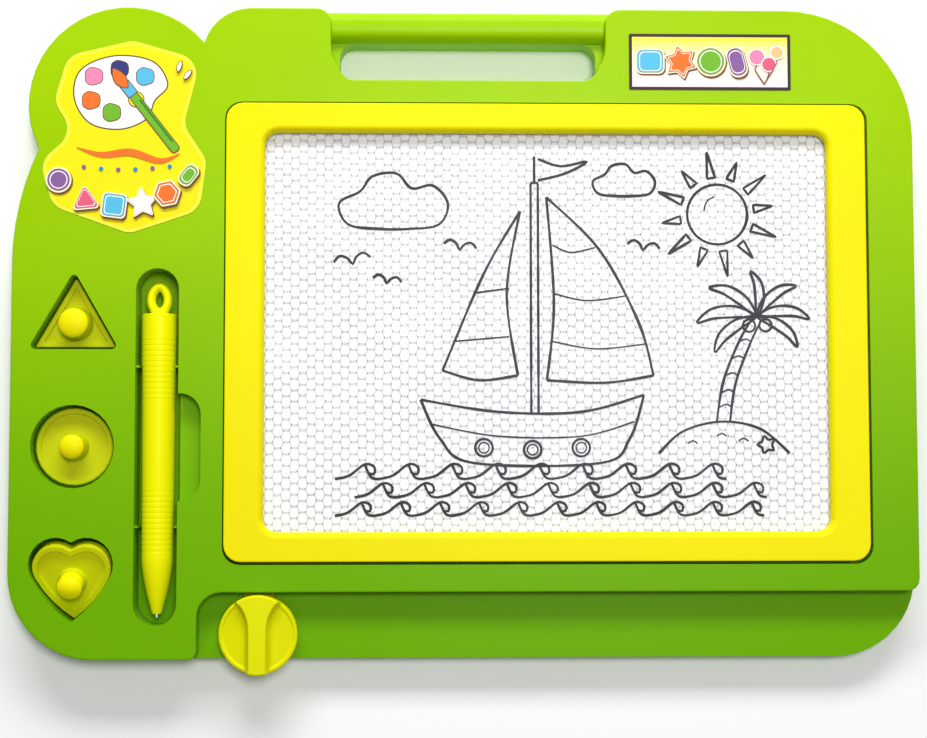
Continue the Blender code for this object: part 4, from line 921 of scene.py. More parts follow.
@dataclass
class ScreenPanel:
    """Clear film over a honeycomb of cells, with the drawing in them."""

    centre: tuple[float, float] = (0.0334, 0.00265)
    columns: int = 69
    rows: int = 36
    column_step: float = 0.00345
    cell_pitch: float = 0.0048
    dash: float = 0.0027
    glued_wall: float = 0.00095
    single_wall: float = 0.00052
    wall_height: float = 0.00010
    warp: float = 0.0016
    warp_scale: float = 16.0
    crumple: float = 0.0011
    crumple_scale: float = 230.0
    cell_seed: float = 3.0
    level: float = 0.0153
    line_width: float = 0.00105
    fine_share: float = 0.6
    line_height: float = 0.00012
    line_step: float = 0.0011
    unevenness: float = 1.1
    unevenness_scale: float = 70.0
    line_seed: float = 8.0

    def cells(self) -> bpy.types.Object:
        """Grows the honeycomb's walls: a glued double wall and two single ones to each cell."""
        slant = Vector((self.column_step - self.dash, self.cell_pitch / 2))
        sizes = {
            "Columns": self.columns, "Rows": self.rows, "Column Step": self.column_step,
            "Cell Pitch": self.cell_pitch, "Dash": self.dash, "Glued Wall": self.glued_wall,
            "Single Wall": self.single_wall, "Height": self.wall_height, "Slant Length": slant.length,
            "Slant Turn": math.atan2(slant.y, slant.x), "Warp": self.warp, "Crumple": self.crumple,
            "Centre": Vector((*self.centre, self.level + self.wall_height / 2)), "Seed": self.cell_seed,
        }
        tree = Grower("honeycomb", sizes, Finish.WALLS)
        step, pitch = tree.size("Column Step"), tree.size("Cell Pitch")
        grid = tree.node("GeometryNodeMeshGrid", None, {
            "Size X": (tree.size("Columns") - 1) * step, "Size Y": (tree.size("Rows") - 1) * pitch,
            "Vertices X": tree.size("Columns"), "Vertices Y": tree.size("Rows"),
        }).outputs["Mesh"]
        place = tree.node("GeometryNodeInputPosition").outputs[0]
        across = tree.value("ShaderNodeSeparateXYZ", 0, None, {0: place})
        stagger = (across / step).rounded().wrapped(2.0) * pitch * 0.5
        offset = tree.vector(0.0, stagger)
        points = tree.node("GeometryNodeSetPosition", None, {0: grid, "Offset": offset}).outputs[0]
        walls = [self._wall(tree, "Dash", "Glued Wall", tree.vector(0.0, pitch * 0.5), tree.vector())]
        for side in (1.0, -1.0):
            middle = tree.vector(step * 0.5, pitch * (0.25 * side))
            turn = tree.vector(0.0, 0.0, tree.size("Slant Turn") * -side)
            walls.append(self._wall(tree, "Slant Length", "Single Wall", middle, turn))
        join = tree.node("GeometryNodeJoinGeometry")
        for wall in walls:
            tree.wire(join.inputs[0], wall)
        inputs = {0: points, "Instance": join.outputs[0]}
        spread = tree.node("GeometryNodeInstanceOnPoints", None, inputs)
        real = tree.node("GeometryNodeRealizeInstances", None, {0: spread.outputs[0]}).outputs[0]
        bend = tree.along("SCALE", tree.wander(self.warp_scale), tree.size("Warp"))
        crush = tree.along("SCALE", tree.wander(self.crumple_scale), tree.size("Crumple"))
        flat = tree.along("MULTIPLY", tree.along("ADD", bend, crush), (1.0, 1.0, 0.0))
        warped = tree.node("GeometryNodeSetPosition", None, {0: real, "Offset": flat}).outputs[0]
        inputs = {0: warped, "Translation": tree.size("Centre")}
        tree.end(tree.node("GeometryNodeTransform", None, inputs).outputs[0])
        return tree.grow("cell_walls")

    def _wall(
        self, tree: Grower, length: str, width: str, middle: bpy.types.NodeSocket,
        turn: bpy.types.NodeSocket,
    ) -> bpy.types.NodeSocket:
        """Makes one wall of a cell.

        Args:
            tree: The tree.
            length: The input that holds its length.
            width: The input that holds its width.
            middle: Its middle.
            turn: Its turn about each axis.

        Returns:
            The wall's socket.
        """
        size = tree.vector(tree.size(length), tree.size(width), tree.size("Height"))
        cube = tree.node("GeometryNodeMeshCube", None, {"Size": size}).outputs["Mesh"]
        euler = tree.node("FunctionNodeEulerToRotation", None, {0: turn}).outputs[0]
        inputs = {0: cube, "Translation": middle, "Rotation": euler}
        return tree.node("GeometryNodeTransform", None, inputs).outputs[0]

    def drawn(self, name: str, strokes: Sequence[Stroke], weight: float) -> bpy.types.Object:
        """Turns the strokes into lines of powder just under the film.

        Args:
            name: The piece's name.
            strokes: The strokes.
            weight: The lines' width as a share of the full width.

        Returns:
            The drawing.
        """
        mesh = bpy.data.meshes.new(name)
        points: list[tuple[float, float, float]] = []
        edges: list[tuple[int, int]] = []
        height = self.level + self.wall_height + self.line_height / 2
        for line, closed in strokes:
            first = len(points)
            points += [(p.x, p.y, height) for p in line]
            edges += [(first + i, first + i + 1) for i in range(len(line) - 1)]
            if closed:
                edges.append((len(points) - 1, first))
        mesh.from_pydata(points, edges, [])
        sizes = {
            "Line Width": self.line_width * weight, "Line Height": self.line_height,
            "Step": self.line_step, "Unevenness": self.unevenness, "Seed": self.line_seed,
        }
        tree = Grower(name + "_lines", sizes, Finish.POWDER)
        curve = tree.node("GeometryNodeMeshToCurve", None, {0: tree.entry.outputs[0]}).outputs[0]
        inputs = {0: curve, "Length": tree.size("Step")}
        even = tree.node("GeometryNodeResampleCurve", {"mode": "LENGTH"}, inputs)
        upright = tree.node("GeometryNodeSetCurveNormal", {"mode": "Z_UP"}, {0: even.outputs[0]})
        section = tree.node("GeometryNodeCurvePrimitiveQuadrilateral", None, {
            "Width": tree.size("Line Width"), "Height": tree.size("Line Height"),
        })
        wander = tree.wander(self.unevenness_scale, 2.0)
        girth = tree.value("ShaderNodeSeparateXYZ", 0, None, {0: wander}) * tree.size("Unevenness") + 1.0
        lines = tree.node("GeometryNodeCurveToMesh", None, {
            0: upright.outputs[0], "Profile Curve": section.outputs[0], "Scale": girth, "Fill Caps": True,
        })
        tree.end(lines.outputs[0])
        return tree.grow(name, mesh)

    def build(self) -> None:
        """Dresses the panel's sheets and grows its cells and its drawing."""
        film = cad_copy("screen_film", "film")
        show(film, "board", Finish.FILM, ("screen_film",))
        core = cad_copy("honeycomb_core", "cell_filling")
        show(core, "board", Finish.CELLS, ("honeycomb_core",))
        back = cad_copy("panel_back_film", "back_film")
        show(back, "board", Finish.BACK_FILM, ("panel_back_film",))
        show(self.cells(), "board", Finish.WALLS)
        picture = Seascape(self.centre)
        bold = self.drawn("drawing", picture.bold(), 1.0)
        show(bold, "board", Finish.POWDER)
        fine = self.drawn("drawing_fine", picture.fine(), self.fine_share)
        show(fine, "board", Finish.POWDER)


@dataclass
class Seascape:
    """Line drawing on the screen: a boat on waves, an island with a palm, sun, clouds and gulls."""

    centre: tuple[float, float]
    port_places: tuple[float, ...] = (-0.026, -0.006, 0.014)
    port_height: float = -0.0485
    port_rise: float = 0.04
    port_radius: float = 0.0036
    pane_radius: float = 0.0022
    wave_pitch: float = 0.0184

    def _here(self, strokes: Sequence[Stroke]) -> list[Stroke]:
        """Strokes moved to the screen's middle."""
        return [(placed(line, *self.centre), closed) for line, closed in strokes]

    def _ports(self, radius: float) -> list[Stroke]:
        """The three portholes along the hull's curve."""
        middle = self.port_places[1]
        centres = [(x, self.port_height + abs(x - middle) * self.port_rise) for x in self.port_places]
        return [(circle(centre, radius), True) for centre in centres]

    def bold(self) -> list[Stroke]:
        """The thick strokes, in place."""
        return self._here(self.boat() + self.sky() + self.sea() + self.island())

    def fine(self) -> list[Stroke]:
        """The thin strokes, in place."""
        plank = smooth_path([(-0.048, -0.038), (-0.020, -0.043), (0.014, -0.043), (0.036, -0.037)])
        seam_ends = ((0.0405, -0.004), (0.033, 0.016), (0.020, 0.036))
        seams = [smooth_path([(0.0025, y), (x / 2, y - 0.003), (x, y - 0.001)]) for x, y in seam_ends]
        tuck_ends = ((-0.0388, -0.002), (-0.0303, 0.018))
        tucks = [smooth_path([(-0.0155, y), (x, y - 0.002)]) for x, y in tuck_ends]
        glow = smooth_path([(0.0655, 0.0505), (0.0668, 0.0545), (0.0700, 0.0565)])
        lines = [(line, False) for line in (plank, *seams, *tucks, glow)]
        lines += self._ports(self.pane_radius)
        trunk = ((0.0712, -0.031), (0.0722, -0.025), (0.0738, -0.018), (0.0765, -0.011), (0.0795, -0.004))
        for x, y in trunk:
            ring = [(x, y), (x + 0.003, y + 0.0012), (x + 0.0052, y - 0.0002)]
            lines.append((smooth_path(ring), False))
        for x, y in ((0.058, -0.046), (0.070, -0.043), (0.079, -0.045)):
            lines.append((smooth_path([(x, y), (x + 0.002, y + 0.0012), (x + 0.004, y)]), False))
        return self._here(lines)

    def boat(self) -> list[Stroke]:
        """Hull, mast, two sails, pennant and portholes."""
        hull = smooth_path([(-0.052, -0.028), (-0.020, -0.033), (0.014, -0.033), (0.040, -0.026)])
        keel = smooth_path([
            (0.040, -0.026), (0.034, -0.044), (0.022, -0.054), (-0.030, -0.054), (-0.044, -0.044),
            (-0.052, -0.028),
        ])
        corners = ((-0.0065, -0.0338), (-0.0065, 0.062), (-0.0035, 0.062), (-0.0035, -0.0338))
        mast = [Vector(corner) for corner in corners]
        main = smooth_path([(0.0, 0.056), (0.022, 0.034), (0.038, 0.004), (0.044, -0.018)])
        foot = smooth_path([(0.044, -0.018), (0.024, -0.021), (0.0, -0.020)])
        luff = smooth_path([(0.0, -0.020), (0.003, 0.012), (0.0, 0.056)])
        jib = smooth_path([(-0.011, 0.050), (-0.026, 0.024), (-0.043, -0.016)])
        jib_foot = smooth_path([(-0.043, -0.016), (-0.028, -0.020), (-0.012, -0.018)])
        jib_luff = smooth_path([(-0.012, -0.018), (-0.0165, 0.016), (-0.011, 0.050)])
        pennant = smooth_path([
            (-0.0035, 0.072), (0.006, 0.069), (0.017, 0.071), (0.008, 0.066), (-0.0035, 0.063),
        ])
        pole = [Vector((-0.005, 0.062)), Vector((-0.005, 0.073))]
        lines = (hull, keel, mast, main, foot, luff, jib, jib_foot, jib_luff, pennant, pole)
        return [(line, False) for line in lines] + self._ports(self.port_radius)

    def sky(self) -> list[Stroke]:
        """Sun with rays, two clouds and four gulls."""
        sun = (0.071, 0.049)
        lines: list[Stroke] = [(circle(sun, 0.0125), True)]
        for i in range(12):
            turn = math.radians(30 * i + 9)
            ray = [(0.0155, -0.11), (0.0235 + 0.003 * (i % 2), 0.0), (0.0155, 0.11)]
            points = [(sun[0] + r * math.cos(turn + a), sun[1] + r * math.sin(turn + a)) for r, a in ray]
            lines.append(([Vector(p) for p in points], True))
        puffs = [
            (-0.016, -0.006), (-0.019, 0.001), (-0.012, 0.005), (-0.008, 0.010), (0.000, 0.011),
            (0.005, 0.006), (0.012, 0.007), (0.017, 0.001), (0.014, -0.006), (0.004, -0.0075),
            (-0.006, -0.0075),
        ]
        for x, y, size in ((-0.062, 0.052, 1.25), (0.033, 0.062, 0.72)):
            lines.append((placed(smooth_path(puffs, True, 6), x, y, 0, size), True))
        wing = smooth_path([
            (-0.0085, 0.002), (-0.0055, 0.0045), (-0.002, 0.003), (0, 0), (0.002, 0.003),
            (0.0055, 0.0045), (0.0085, 0.002),
        ])
        gulls = ((-0.036, 0.034, 0.8), (-0.080, 0.028, 0.9), (-0.066, 0.020, 0.7), (0.040, 0.034, 0.8))
        for x, y, size in gulls:
            lines.append((placed(wing, x, y, 0.15 * (1 if size > 0.8 else -1), size), False))
        return lines

    def sea(self) -> list[Stroke]:
        """Three rows of waves with curled crests."""
        crest = smooth_path([
            (0, 0), (0.006, 0.0015), (0.0125, 0.0062), (0.0165, 0.0052), (0.0165, 0.0022),
            (0.0140, 0.0024),
        ])
        dip = smooth_path([(0.0125, 0.0062), (0.0152, 0.0008), (0.0185, 0.0)])
        lines: list[Stroke] = []
        rows = ((-0.0605, -0.087, 9, 0.97), (-0.0680, -0.079, 10, 0.92), (-0.0755, -0.087, 11, 0.87))
        for y, start, count, size in rows:
            for i in range(count):
                x = start + self.wave_pitch * size * i
                lines += [(placed(part, x, y, 0.0, size), False) for part in (crest, dip)]
        return lines

    def island(self) -> list[Stroke]:
        """Sand bank with a leaning palm, its leaves and nuts, and a sea star."""
        bank = smooth_path([
            (0.046, -0.050), (0.056, -0.041), (0.072, -0.037), (0.088, -0.040), (0.100, -0.050),
        ])
        left = smooth_path([(0.070, -0.037), (0.073, -0.020), (0.080, -0.003), (0.0855, 0.006)])
        right = smooth_path([(0.0755, -0.037), (0.078, -0.021), (0.0845, -0.004), (0.0885, 0.004)])
        top = Vector((0.087, 0.0065))
        lines = [(line, False) for line in (bank, left, right)]
        leaf = [(0, 0), (0.35, 0.17), (0.75, 0.13), (1.0, -0.10), (0.72, -0.03), (0.36, -0.01)]
        leaves = (
            (-0.55, 0.021), (0.05, 0.022), (0.75, 0.021), (1.6, 0.019), (2.5, 0.023), (3.15, 0.025),
            (3.75, 0.023),
        )
        for turn, reach in leaves:
            side = 1 if math.cos(turn) >= 0 else -1
            outline = smooth_path([(x * reach, y * reach * side) for x, y in leaf], True, 6)
            lines.append((placed(outline, top.x, top.y, turn), True))
        for x, y in ((-0.0032, -0.0038), (0.0036, -0.0036)):
            lines.append((circle((top.x + x, top.y + y), 0.0026, 20), True))
        lines.append((placed(star(0.0042), 0.0905, -0.0465, 0.3), True))
        return lines


@dataclass
class Eraser:
    """The slider: arm, bar magnet and a finger knob whose ridge flares at its back."""

    edge: float = 0.0007
    arm_round: float = 0.0003
    ridge: float = 0.0033
    flare: float = 0.0046
    flare_start: float = -0.06
    flare_span: float = 0.88
    scoop: float = 0.0048
    wall: float = 0.0011
    lip: float = 0.0005
    lip_width: float = 0.0013
    socket: float = 0.0038
    socket_depth: float = 0.0045
    socket_end: float = 0.0008
    around: int = 288
    across: int = 72

    def _depth(self, x: float, y: float, radius: float) -> float:
        """How far the top lies below the ridge at a place about the knob's middle.

        Args:
            x: Across the ridge.
            y: Along the ridge, towards its back.
            radius: The knob's radius.

        Returns:
            The depth.
        """
        half = self.ridge + self.flare * max(0.0, (y / radius - self.flare_start) / self.flare_span) ** 3
        beyond = abs(x) - half
        if beyond <= 0:
            return 0.0
        floor = self.scoop * (0.9 - 0.25 * y / radius) + 0.10 * beyond
        step = math.hypot(x, y) - (radius - self.edge - self.lip_width)
        rise = min(max(step / (self.lip_width * 0.6), 0.0), 1.0)
        dished = floor * (1 - math.exp(-((beyond / self.wall) ** 1.6)))
        return max(0.0, dished - self.lip * rise**2 * (3 - 2 * rise))

    def knob(self) -> bpy.types.Object:
        """Shapes the knob on a round grid inside the CAD knob's box."""
        low, high = (Vector(corner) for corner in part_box("eraser_knob"))
        middle = (low + high) / 2
        radius = (high.x - low.x) / 2
        inner = radius - self.edge
        shape = bmesh.new()
        rings = [[shape.verts.new((middle.x, middle.y, high.z))]]

        def ring(reach: float, height: Callable[[float, float], float]) -> None:
            """Adds one ring of points.

            Args:
                reach: Its radius.
                height: Gives the height at a place about the knob's middle.
            """
            points = []
            for i in range(self.around):
                turn = 2 * math.pi * i / self.around
                x, y = reach * math.cos(turn), reach * math.sin(turn)
                points.append(shape.verts.new((middle.x + x, middle.y + y, height(x, y))))
            rings.append(points)

        for i in range(1, self.across + 1):
            ring(inner * i / self.across, lambda x, y: high.z - self._depth(x, y, radius))
        for turn in (30, 60, 90):
            out = math.radians(turn)
            reach, drop = inner + self.edge * math.sin(out), self.edge * (1 - math.cos(out))
            ring(reach, lambda x, y, drop=drop, reach=reach: (
                high.z - drop - self._depth(x * inner / reach, y * inner / reach, radius)
            ))
        roof = low.z + self.socket_depth
        below = (
            (radius, low.z + self.edge), (inner, low.z), (self.socket, low.z), (self.socket, roof),
            (self.socket_end, roof),
        )
        for reach, height in below:
            ring(reach, lambda x, y, height=height: height)
        banded(shape, rings)
        shape.faces.new(rings[-1])
        return outward(shape, "slider_knob", 60)

    def build(self) -> None:
        """Dresses the three pieces."""
        arm = cad_copy("eraser_arm", "slider_arm", (Round(self.arm_round, convex_over(60), 2),))
        # The arm's dark finish is painted shade from the step.
        show(arm, "eraser", Finish.ARM_PAINTED_SHADE, ("eraser_arm",))
        bar = cad_copy("eraser_magnet_strip", "slider_magnet")
        show(bar, "eraser", Finish.RUBBER, ("eraser_magnet_strip",))
        show(self.knob(), "eraser", Finish.KNOB, ("eraser_knob",))


@dataclass
class Pen:
    """The magnetic pen in its slot: a turned barrel with two ringed grips, a loop and a steel nib."""

    radius: float = 0.00705
    middle: float = 0.0067
    waist: float = 0.0064
    tip: float = 0.0019
    edge: float = 0.0005
    steps: int = 900
    nose_share: float = 0.18412
    grip_shares: tuple[tuple[float, float], ...] = ((0.083, 0.288), (0.593, 0.798))
    ring_pitch: float = 0.0022
    ring_depth: float = 0.00007
    ring_width: float = 0.00185
    loop_length: float = 0.0131
    loop_width: float = 0.0106
    loop_steps: int = 64
    loop_sides: int = 28
    loop_height_share: float = 1.4
    neck_profile: tuple[tuple[float, float], ...] = (
        (0.0, 0.0008), (0.0030, 0.0007), (0.0040, 0.0005), (0.0044, 0.0001), (0.0044, -0.0004),
        (0.0, -0.0004),
    )

    def _girth(self, share: float) -> float:
        """Gives the barrel's radius without its rings.

        Args:
            share: The place along it, 0 at its back end and 1 at its nose.

        Returns:
            The radius.
        """
        grip_end, nose = self.grip_shares[0][1], 1 - self.nose_share
        if share < self.grip_shares[0][0]:
            return self.radius
        if share < grip_end:
            start = self.grip_shares[0][0]
            return self.radius + (self.middle - self.radius) * (share - start) / (grip_end - start)
        if share < nose:
            return self.middle + (self.waist - self.middle) * (share - grip_end) / (nose - grip_end)
        return self.waist + (self.tip - self.waist) * ((share - nose) / self.nose_share) ** 1.6

    def barrel(self, origin: Vector, length: float) -> bpy.types.Object:
        """Turns the barrel about its axis.

        Args:
            origin: The middle of its back end.
            length: Its length.

        Returns:
            The barrel.
        """
        radius, edge = self.radius, self.edge
        profile = [(0.0, 0.0), (radius - edge, 0.0), (radius - edge * 0.3, edge * 0.3), (radius, edge)]
        for i in range(3, self.steps):
            share = i / self.steps
            inside = any(low < share < high for low, high in self.grip_shares)
            groove = (0.5 + 0.5 * math.cos(2 * math.pi * share * length / self.ring_pitch)) ** 4
            depth = self.ring_depth * groove if inside else 0.0
            profile.append((self._girth(share) - depth, share * length))
        profile += [(self.tip, length), (0.0, length)]
        return turned("barrel", [(r, -y) for r, y in profile], origin)

    def loop(self, origin: Vector) -> bpy.types.Object:
        """Grows the pointed ring along its middle line.

        Args:
            origin: The middle of the barrel's back end.

        Returns:
            The ring.
        """
        half = self.loop_width / 2 - self.ring_width
        low, high = self.ring_width * 0.5, self.loop_length - self.ring_width
        path = []
        for i in range(self.loop_steps):
            turn = 2 * math.pi * i / self.loop_steps
            rise = (1 - math.cos(turn)) / 2
            point = Vector((half * math.sin(turn) * (1.03 - 0.16 * rise**2), low + (high - low) * rise))
            path.append((point.x, point.y, 0.0))
        mesh = bpy.data.meshes.new("loop_path")
        mesh.from_pydata(path, [(i, (i + 1) % len(path)) for i in range(len(path))], [])
        sizes = {"Ring Radius": self.ring_width, "Height Share": self.loop_height_share, "Place": origin}
        tree = Grower("loop", sizes, Finish.PEN)
        curve = tree.node("GeometryNodeMeshToCurve", None, {0: tree.entry.outputs[0]}).outputs[0]
        upright = tree.node("GeometryNodeSetCurveNormal", {"mode": "Z_UP"}, {0: curve}).outputs[0]
        inputs = {"Radius": tree.size("Ring Radius"), "Resolution": self.loop_sides}
        section = tree.node("GeometryNodeCurvePrimitiveCircle", None, inputs).outputs[0]
        inputs = {0: upright, "Profile Curve": section}
        ring = tree.node("GeometryNodeCurveToMesh", None, inputs).outputs[0]
        scale = tree.vector(1.0, 1.0, tree.size("Height Share"))
        inputs = {0: ring, "Translation": tree.size("Place"), "Scale": scale}
        tree.end(tree.node("GeometryNodeTransform", None, inputs).outputs[0])
        return smoothed(tree.grow("loop", mesh), 60)

    def build(self) -> None:
        """Makes barrel, loop, neck and nib."""
        low, high = (Vector(corner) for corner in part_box("pen_barrel"))
        origin = Vector(((low.x + high.x) / 2, high.y, (low.z + high.z) / 2))
        show(self.barrel(origin, high.y - low.y), "pen", Finish.PEN, ("pen_barrel",))
        show(self.loop(origin), "pen", None, ("pen_loop_plug",))
        show(turned("neck", self.neck_profile, origin), "pen", Finish.PEN)
        nib = cad_copy("pen_magnet", "nib")
        show(nib, "pen", Finish.STEEL, ("pen_magnet",))


@dataclass
class Stamps:
    """The three stamps in their recesses, whose plates are painted darker and greener than their knobs:
    painted shade and a painted reflection of the green recess walls.
    """

    shapes: tuple[str, ...] = ("triangle", "circle", "heart")
    tilts: tuple[float, ...] = (0.0, 0.0, math.radians(20))
    knob_height: float = 0.0086
    knob_reach: float = 0.0066
    edge: float = 0.0003

    def build(self) -> None:
        """Dresses each stamp and its magnet sheet."""
        for shape, tilt in zip(self.shapes, self.tilts):
            body = shape + "_stamp"
            piece = cad_copy("stamp_" + shape, shape + "_plate", (Round(self.edge, convex_over(50), 2),))
            self._paint_plate_shade(piece, tilt)
            show(piece, body, None, ("stamp_" + shape,))
            sheet = cad_copy("magnet_" + shape, shape + "_magnet")
            show(sheet, body, Finish.RUBBER, ("magnet_" + shape,))

    def _paint_plate_shade(self, piece: bpy.types.Object, tilt: float) -> None:
        """Gives the faces above the plate's rim the knob's finish and the rest the plate's painted shade
        and green reflection. The deeper, tilted stamp is painted paler, as painted light against the shade
        of its recess.

        Args:
            piece: The stamp.
            tilt: Its lean about X.
        """
        mesh = piece.data
        mesh.materials.clear()
        # Plates take painted shade; the heart's pieces are painted lighter against the shade of its deep
        # recess.
        for finish in (Finish.HEART, Finish.HEART_KNOB_PAINTED_LIGHT) if tilt else (Finish.STAMP_PLATE_PAINTED_SHADE, Finish.STAMP_KNOB):
            mesh.materials.append(finish.made())
        up = Vector((0, -math.sin(tilt), math.cos(tilt)))
        peak = max((vertex.co for vertex in mesh.vertices), key=lambda point: point.dot(up))
        for face in mesh.polygons:
            below = [peak - mesh.vertices[index].co for index in face.vertices]
            near = all((v - up * v.dot(up)).length < self.knob_reach for v in below)
            above = all(v.dot(up) < self.knob_height for v in below)
            face.material_index = 1 if near and above else 0


class Ink(Enum):
    """The inks of the two labels."""

    LEMON = linear(244, 224, 0)
    PALE = linear(232, 232, 60)
    CREAM = linear(250, 240, 206)
    WHITE = linear(250, 250, 248)
    BLUSH = linear(252, 226, 232)
    SUNNY = linear(255, 226, 40)
    BROWN = linear(110, 72, 44)
    BORDER = linear(62, 40, 50)
    NAVY = linear(52, 54, 118)
    PINK = linear(240, 132, 170)
    ROSE = linear(222, 92, 122)
    PURPLE = linear(132, 92, 152)
    SKY = linear(84, 182, 218)
    BLUE = linear(34, 140, 196)
    GREEN = linear(110, 176, 40)
    LEAF = linear(40, 124, 46)
    ORANGE = linear(238, 112, 38)
    SAND = linear(244, 190, 130)


@dataclass
class Label:
    """A printed label: patches of ink in thin layers."""

    name: str
    node: str
    level: float
    layer: float = 0.00002

    def __post_init__(self) -> None:
        """Starts with an empty print."""
        self.shape = bmesh.new()
        self.ink = self.shape.loops.layers.float_color.new("ink")
        self.layers = 0

    def patch(self, outline: Sequence[Vector], ink: Ink) -> None:
        """Prints one patch above those before it.

        Args:
            outline: Its anticlockwise outline.
            ink: Its colour.
        """
        self.layers += 1
        top = self.level + self.layer * self.layers
        low = [self.shape.verts.new((p.x, p.y, self.level)) for p in outline]
        high = [self.shape.verts.new((p.x, p.y, top)) for p in outline]
        faces = [self.shape.faces.new(high), self.shape.faces.new(low[::-1])]
        for i in range(len(low)):
            j = (i + 1) % len(low)
            faces.append(self.shape.faces.new((low[i], low[j], high[j], high[i])))
        for face in faces:
            for loop in face.loops:
                loop[self.ink] = (*ink.value, 1.0)

    def tile(self, outline: Sequence[Vector], ink: Ink, x: float, y: float, turn: float = 0.0) -> None:
        """Prints a patch with a brown shadow, a cream rim and a pale line inside it.

        Args:
            outline: Its anticlockwise outline about its own middle.
            ink: Its colour.
            x: Its middle along X.
            y: Its middle along Y.
            turn: Its turn.
        """
        reach = max(p.length for p in outline)
        layers = (
            (0.0011, Ink.BROWN, 0.0006), (0.0009, Ink.CREAM, 0.0), (0.0002, Ink.BROWN, 0.0),
            (0.0, ink, 0.0), (-0.0007, Ink.WHITE, 0.0), (-0.0011, ink, 0.0),
        )
        for grow, colour, drop in layers:
            self.patch(placed(outline, x + drop * 0.6, y - drop, turn, 1 + grow / reach), colour)

    def rimmed(self, outline: Sequence[Vector], ink: Ink, rim: float, edge: Ink = Ink.BROWN) -> None:
        """Prints a patch over a slightly larger one."""
        self.patch(grown(outline, rim), edge)
        self.patch(outline, ink)

    def fade(self, place: Sequence[float], size: Sequence[float], inks: Sequence[Ink], bands: int) -> None:
        """Prints bands that go through the inks from front to back, all in one layer.

        Args:
            place: The ground's middle.
            size: Its width and depth.
            inks: Its three inks.
            bands: How many bands it has.
        """
        self.layers += 1
        top = self.level + self.layer * self.layers
        (x, y), (width, depth) = place, size
        left, right = x - width / 2, x + width / 2
        for i in range(bands):
            low, high = y - depth / 2 + depth * i / bands, y - depth / 2 + depth * (i + 1) / bands
            share = (i + 0.5) / bands
            part = min(int(share * 2), 1)
            mix = share * 2 - part
            colour = [a + (b - a) * mix for a, b in zip(inks[part].value, inks[part + 1].value)]
            corners = ((left, low), (right, low), (right, high), (left, high))
            face = self.shape.faces.new([self.shape.verts.new((a, b, top)) for a, b in corners])
            for loop in face.loops:
                loop[self.ink] = (*colour, 1.0)

    def done(self) -> bpy.types.Object:
        """Closes the print and puts it on the board in place of the CAD label."""
        mesh = bpy.data.meshes.new(self.name)
        self.shape.to_mesh(mesh)
        self.shape.free()
        piece = link(self.name, mesh)
        return show(piece, "board", Finish.LABEL, (self.node,))


def star(radius: float, points: int = 5, waist: float = 0.5, steps: int = 3) -> Outline:
    """Star with softened tips.

    Args:
        radius: Its radius at the tips.
        points: How many tips it has.
        waist: Its radius between the tips, as a share.
        steps: Chords to each softened corner.

    Returns:
        The anticlockwise outline.
    """
    corners = []
    for i in range(2 * points):
        reach = radius if i % 2 == 0 else radius * waist
        turn = math.pi / 2 + math.pi * i / points
        corners.append((reach * math.cos(turn), reach * math.sin(turn), radius * 0.07))
    return rounded(corners, steps)


def stroke(points: Sequence[Sequence[float]], width: float, taper: bool = False) -> Outline:
    """A brush stroke along the points.

    Args:
        points: The points.
        width: Its width.
        taper: True where it thins out to both ends.

    Returns:
        The anticlockwise outline.
    """
    line = smooth_path(points, False, 6)
    left, right = [], []
    for i, point in enumerate(line):
        ahead = (line[min(i + 1, len(line) - 1)] - line[max(i - 1, 0)]).normalized()
        share = i / (len(line) - 1)
        half = width / 2 * (math.sin(math.pi * min(max(share, 0.04), 0.96)) if taper else 1)
        side = Vector((-ahead.y, ahead.x)) * half
        left.append(point + side)
        right.append(point - side)
    return right + left[::-1]


def bar(length: float, width: float, corner: float) -> Outline:
    """Rounded bar about its middle, anticlockwise."""
    x, y = length / 2, width / 2
    return rounded([(-x, -y, corner), (x, -y, corner), (x, y, corner), (-x, y, corner)], 4)


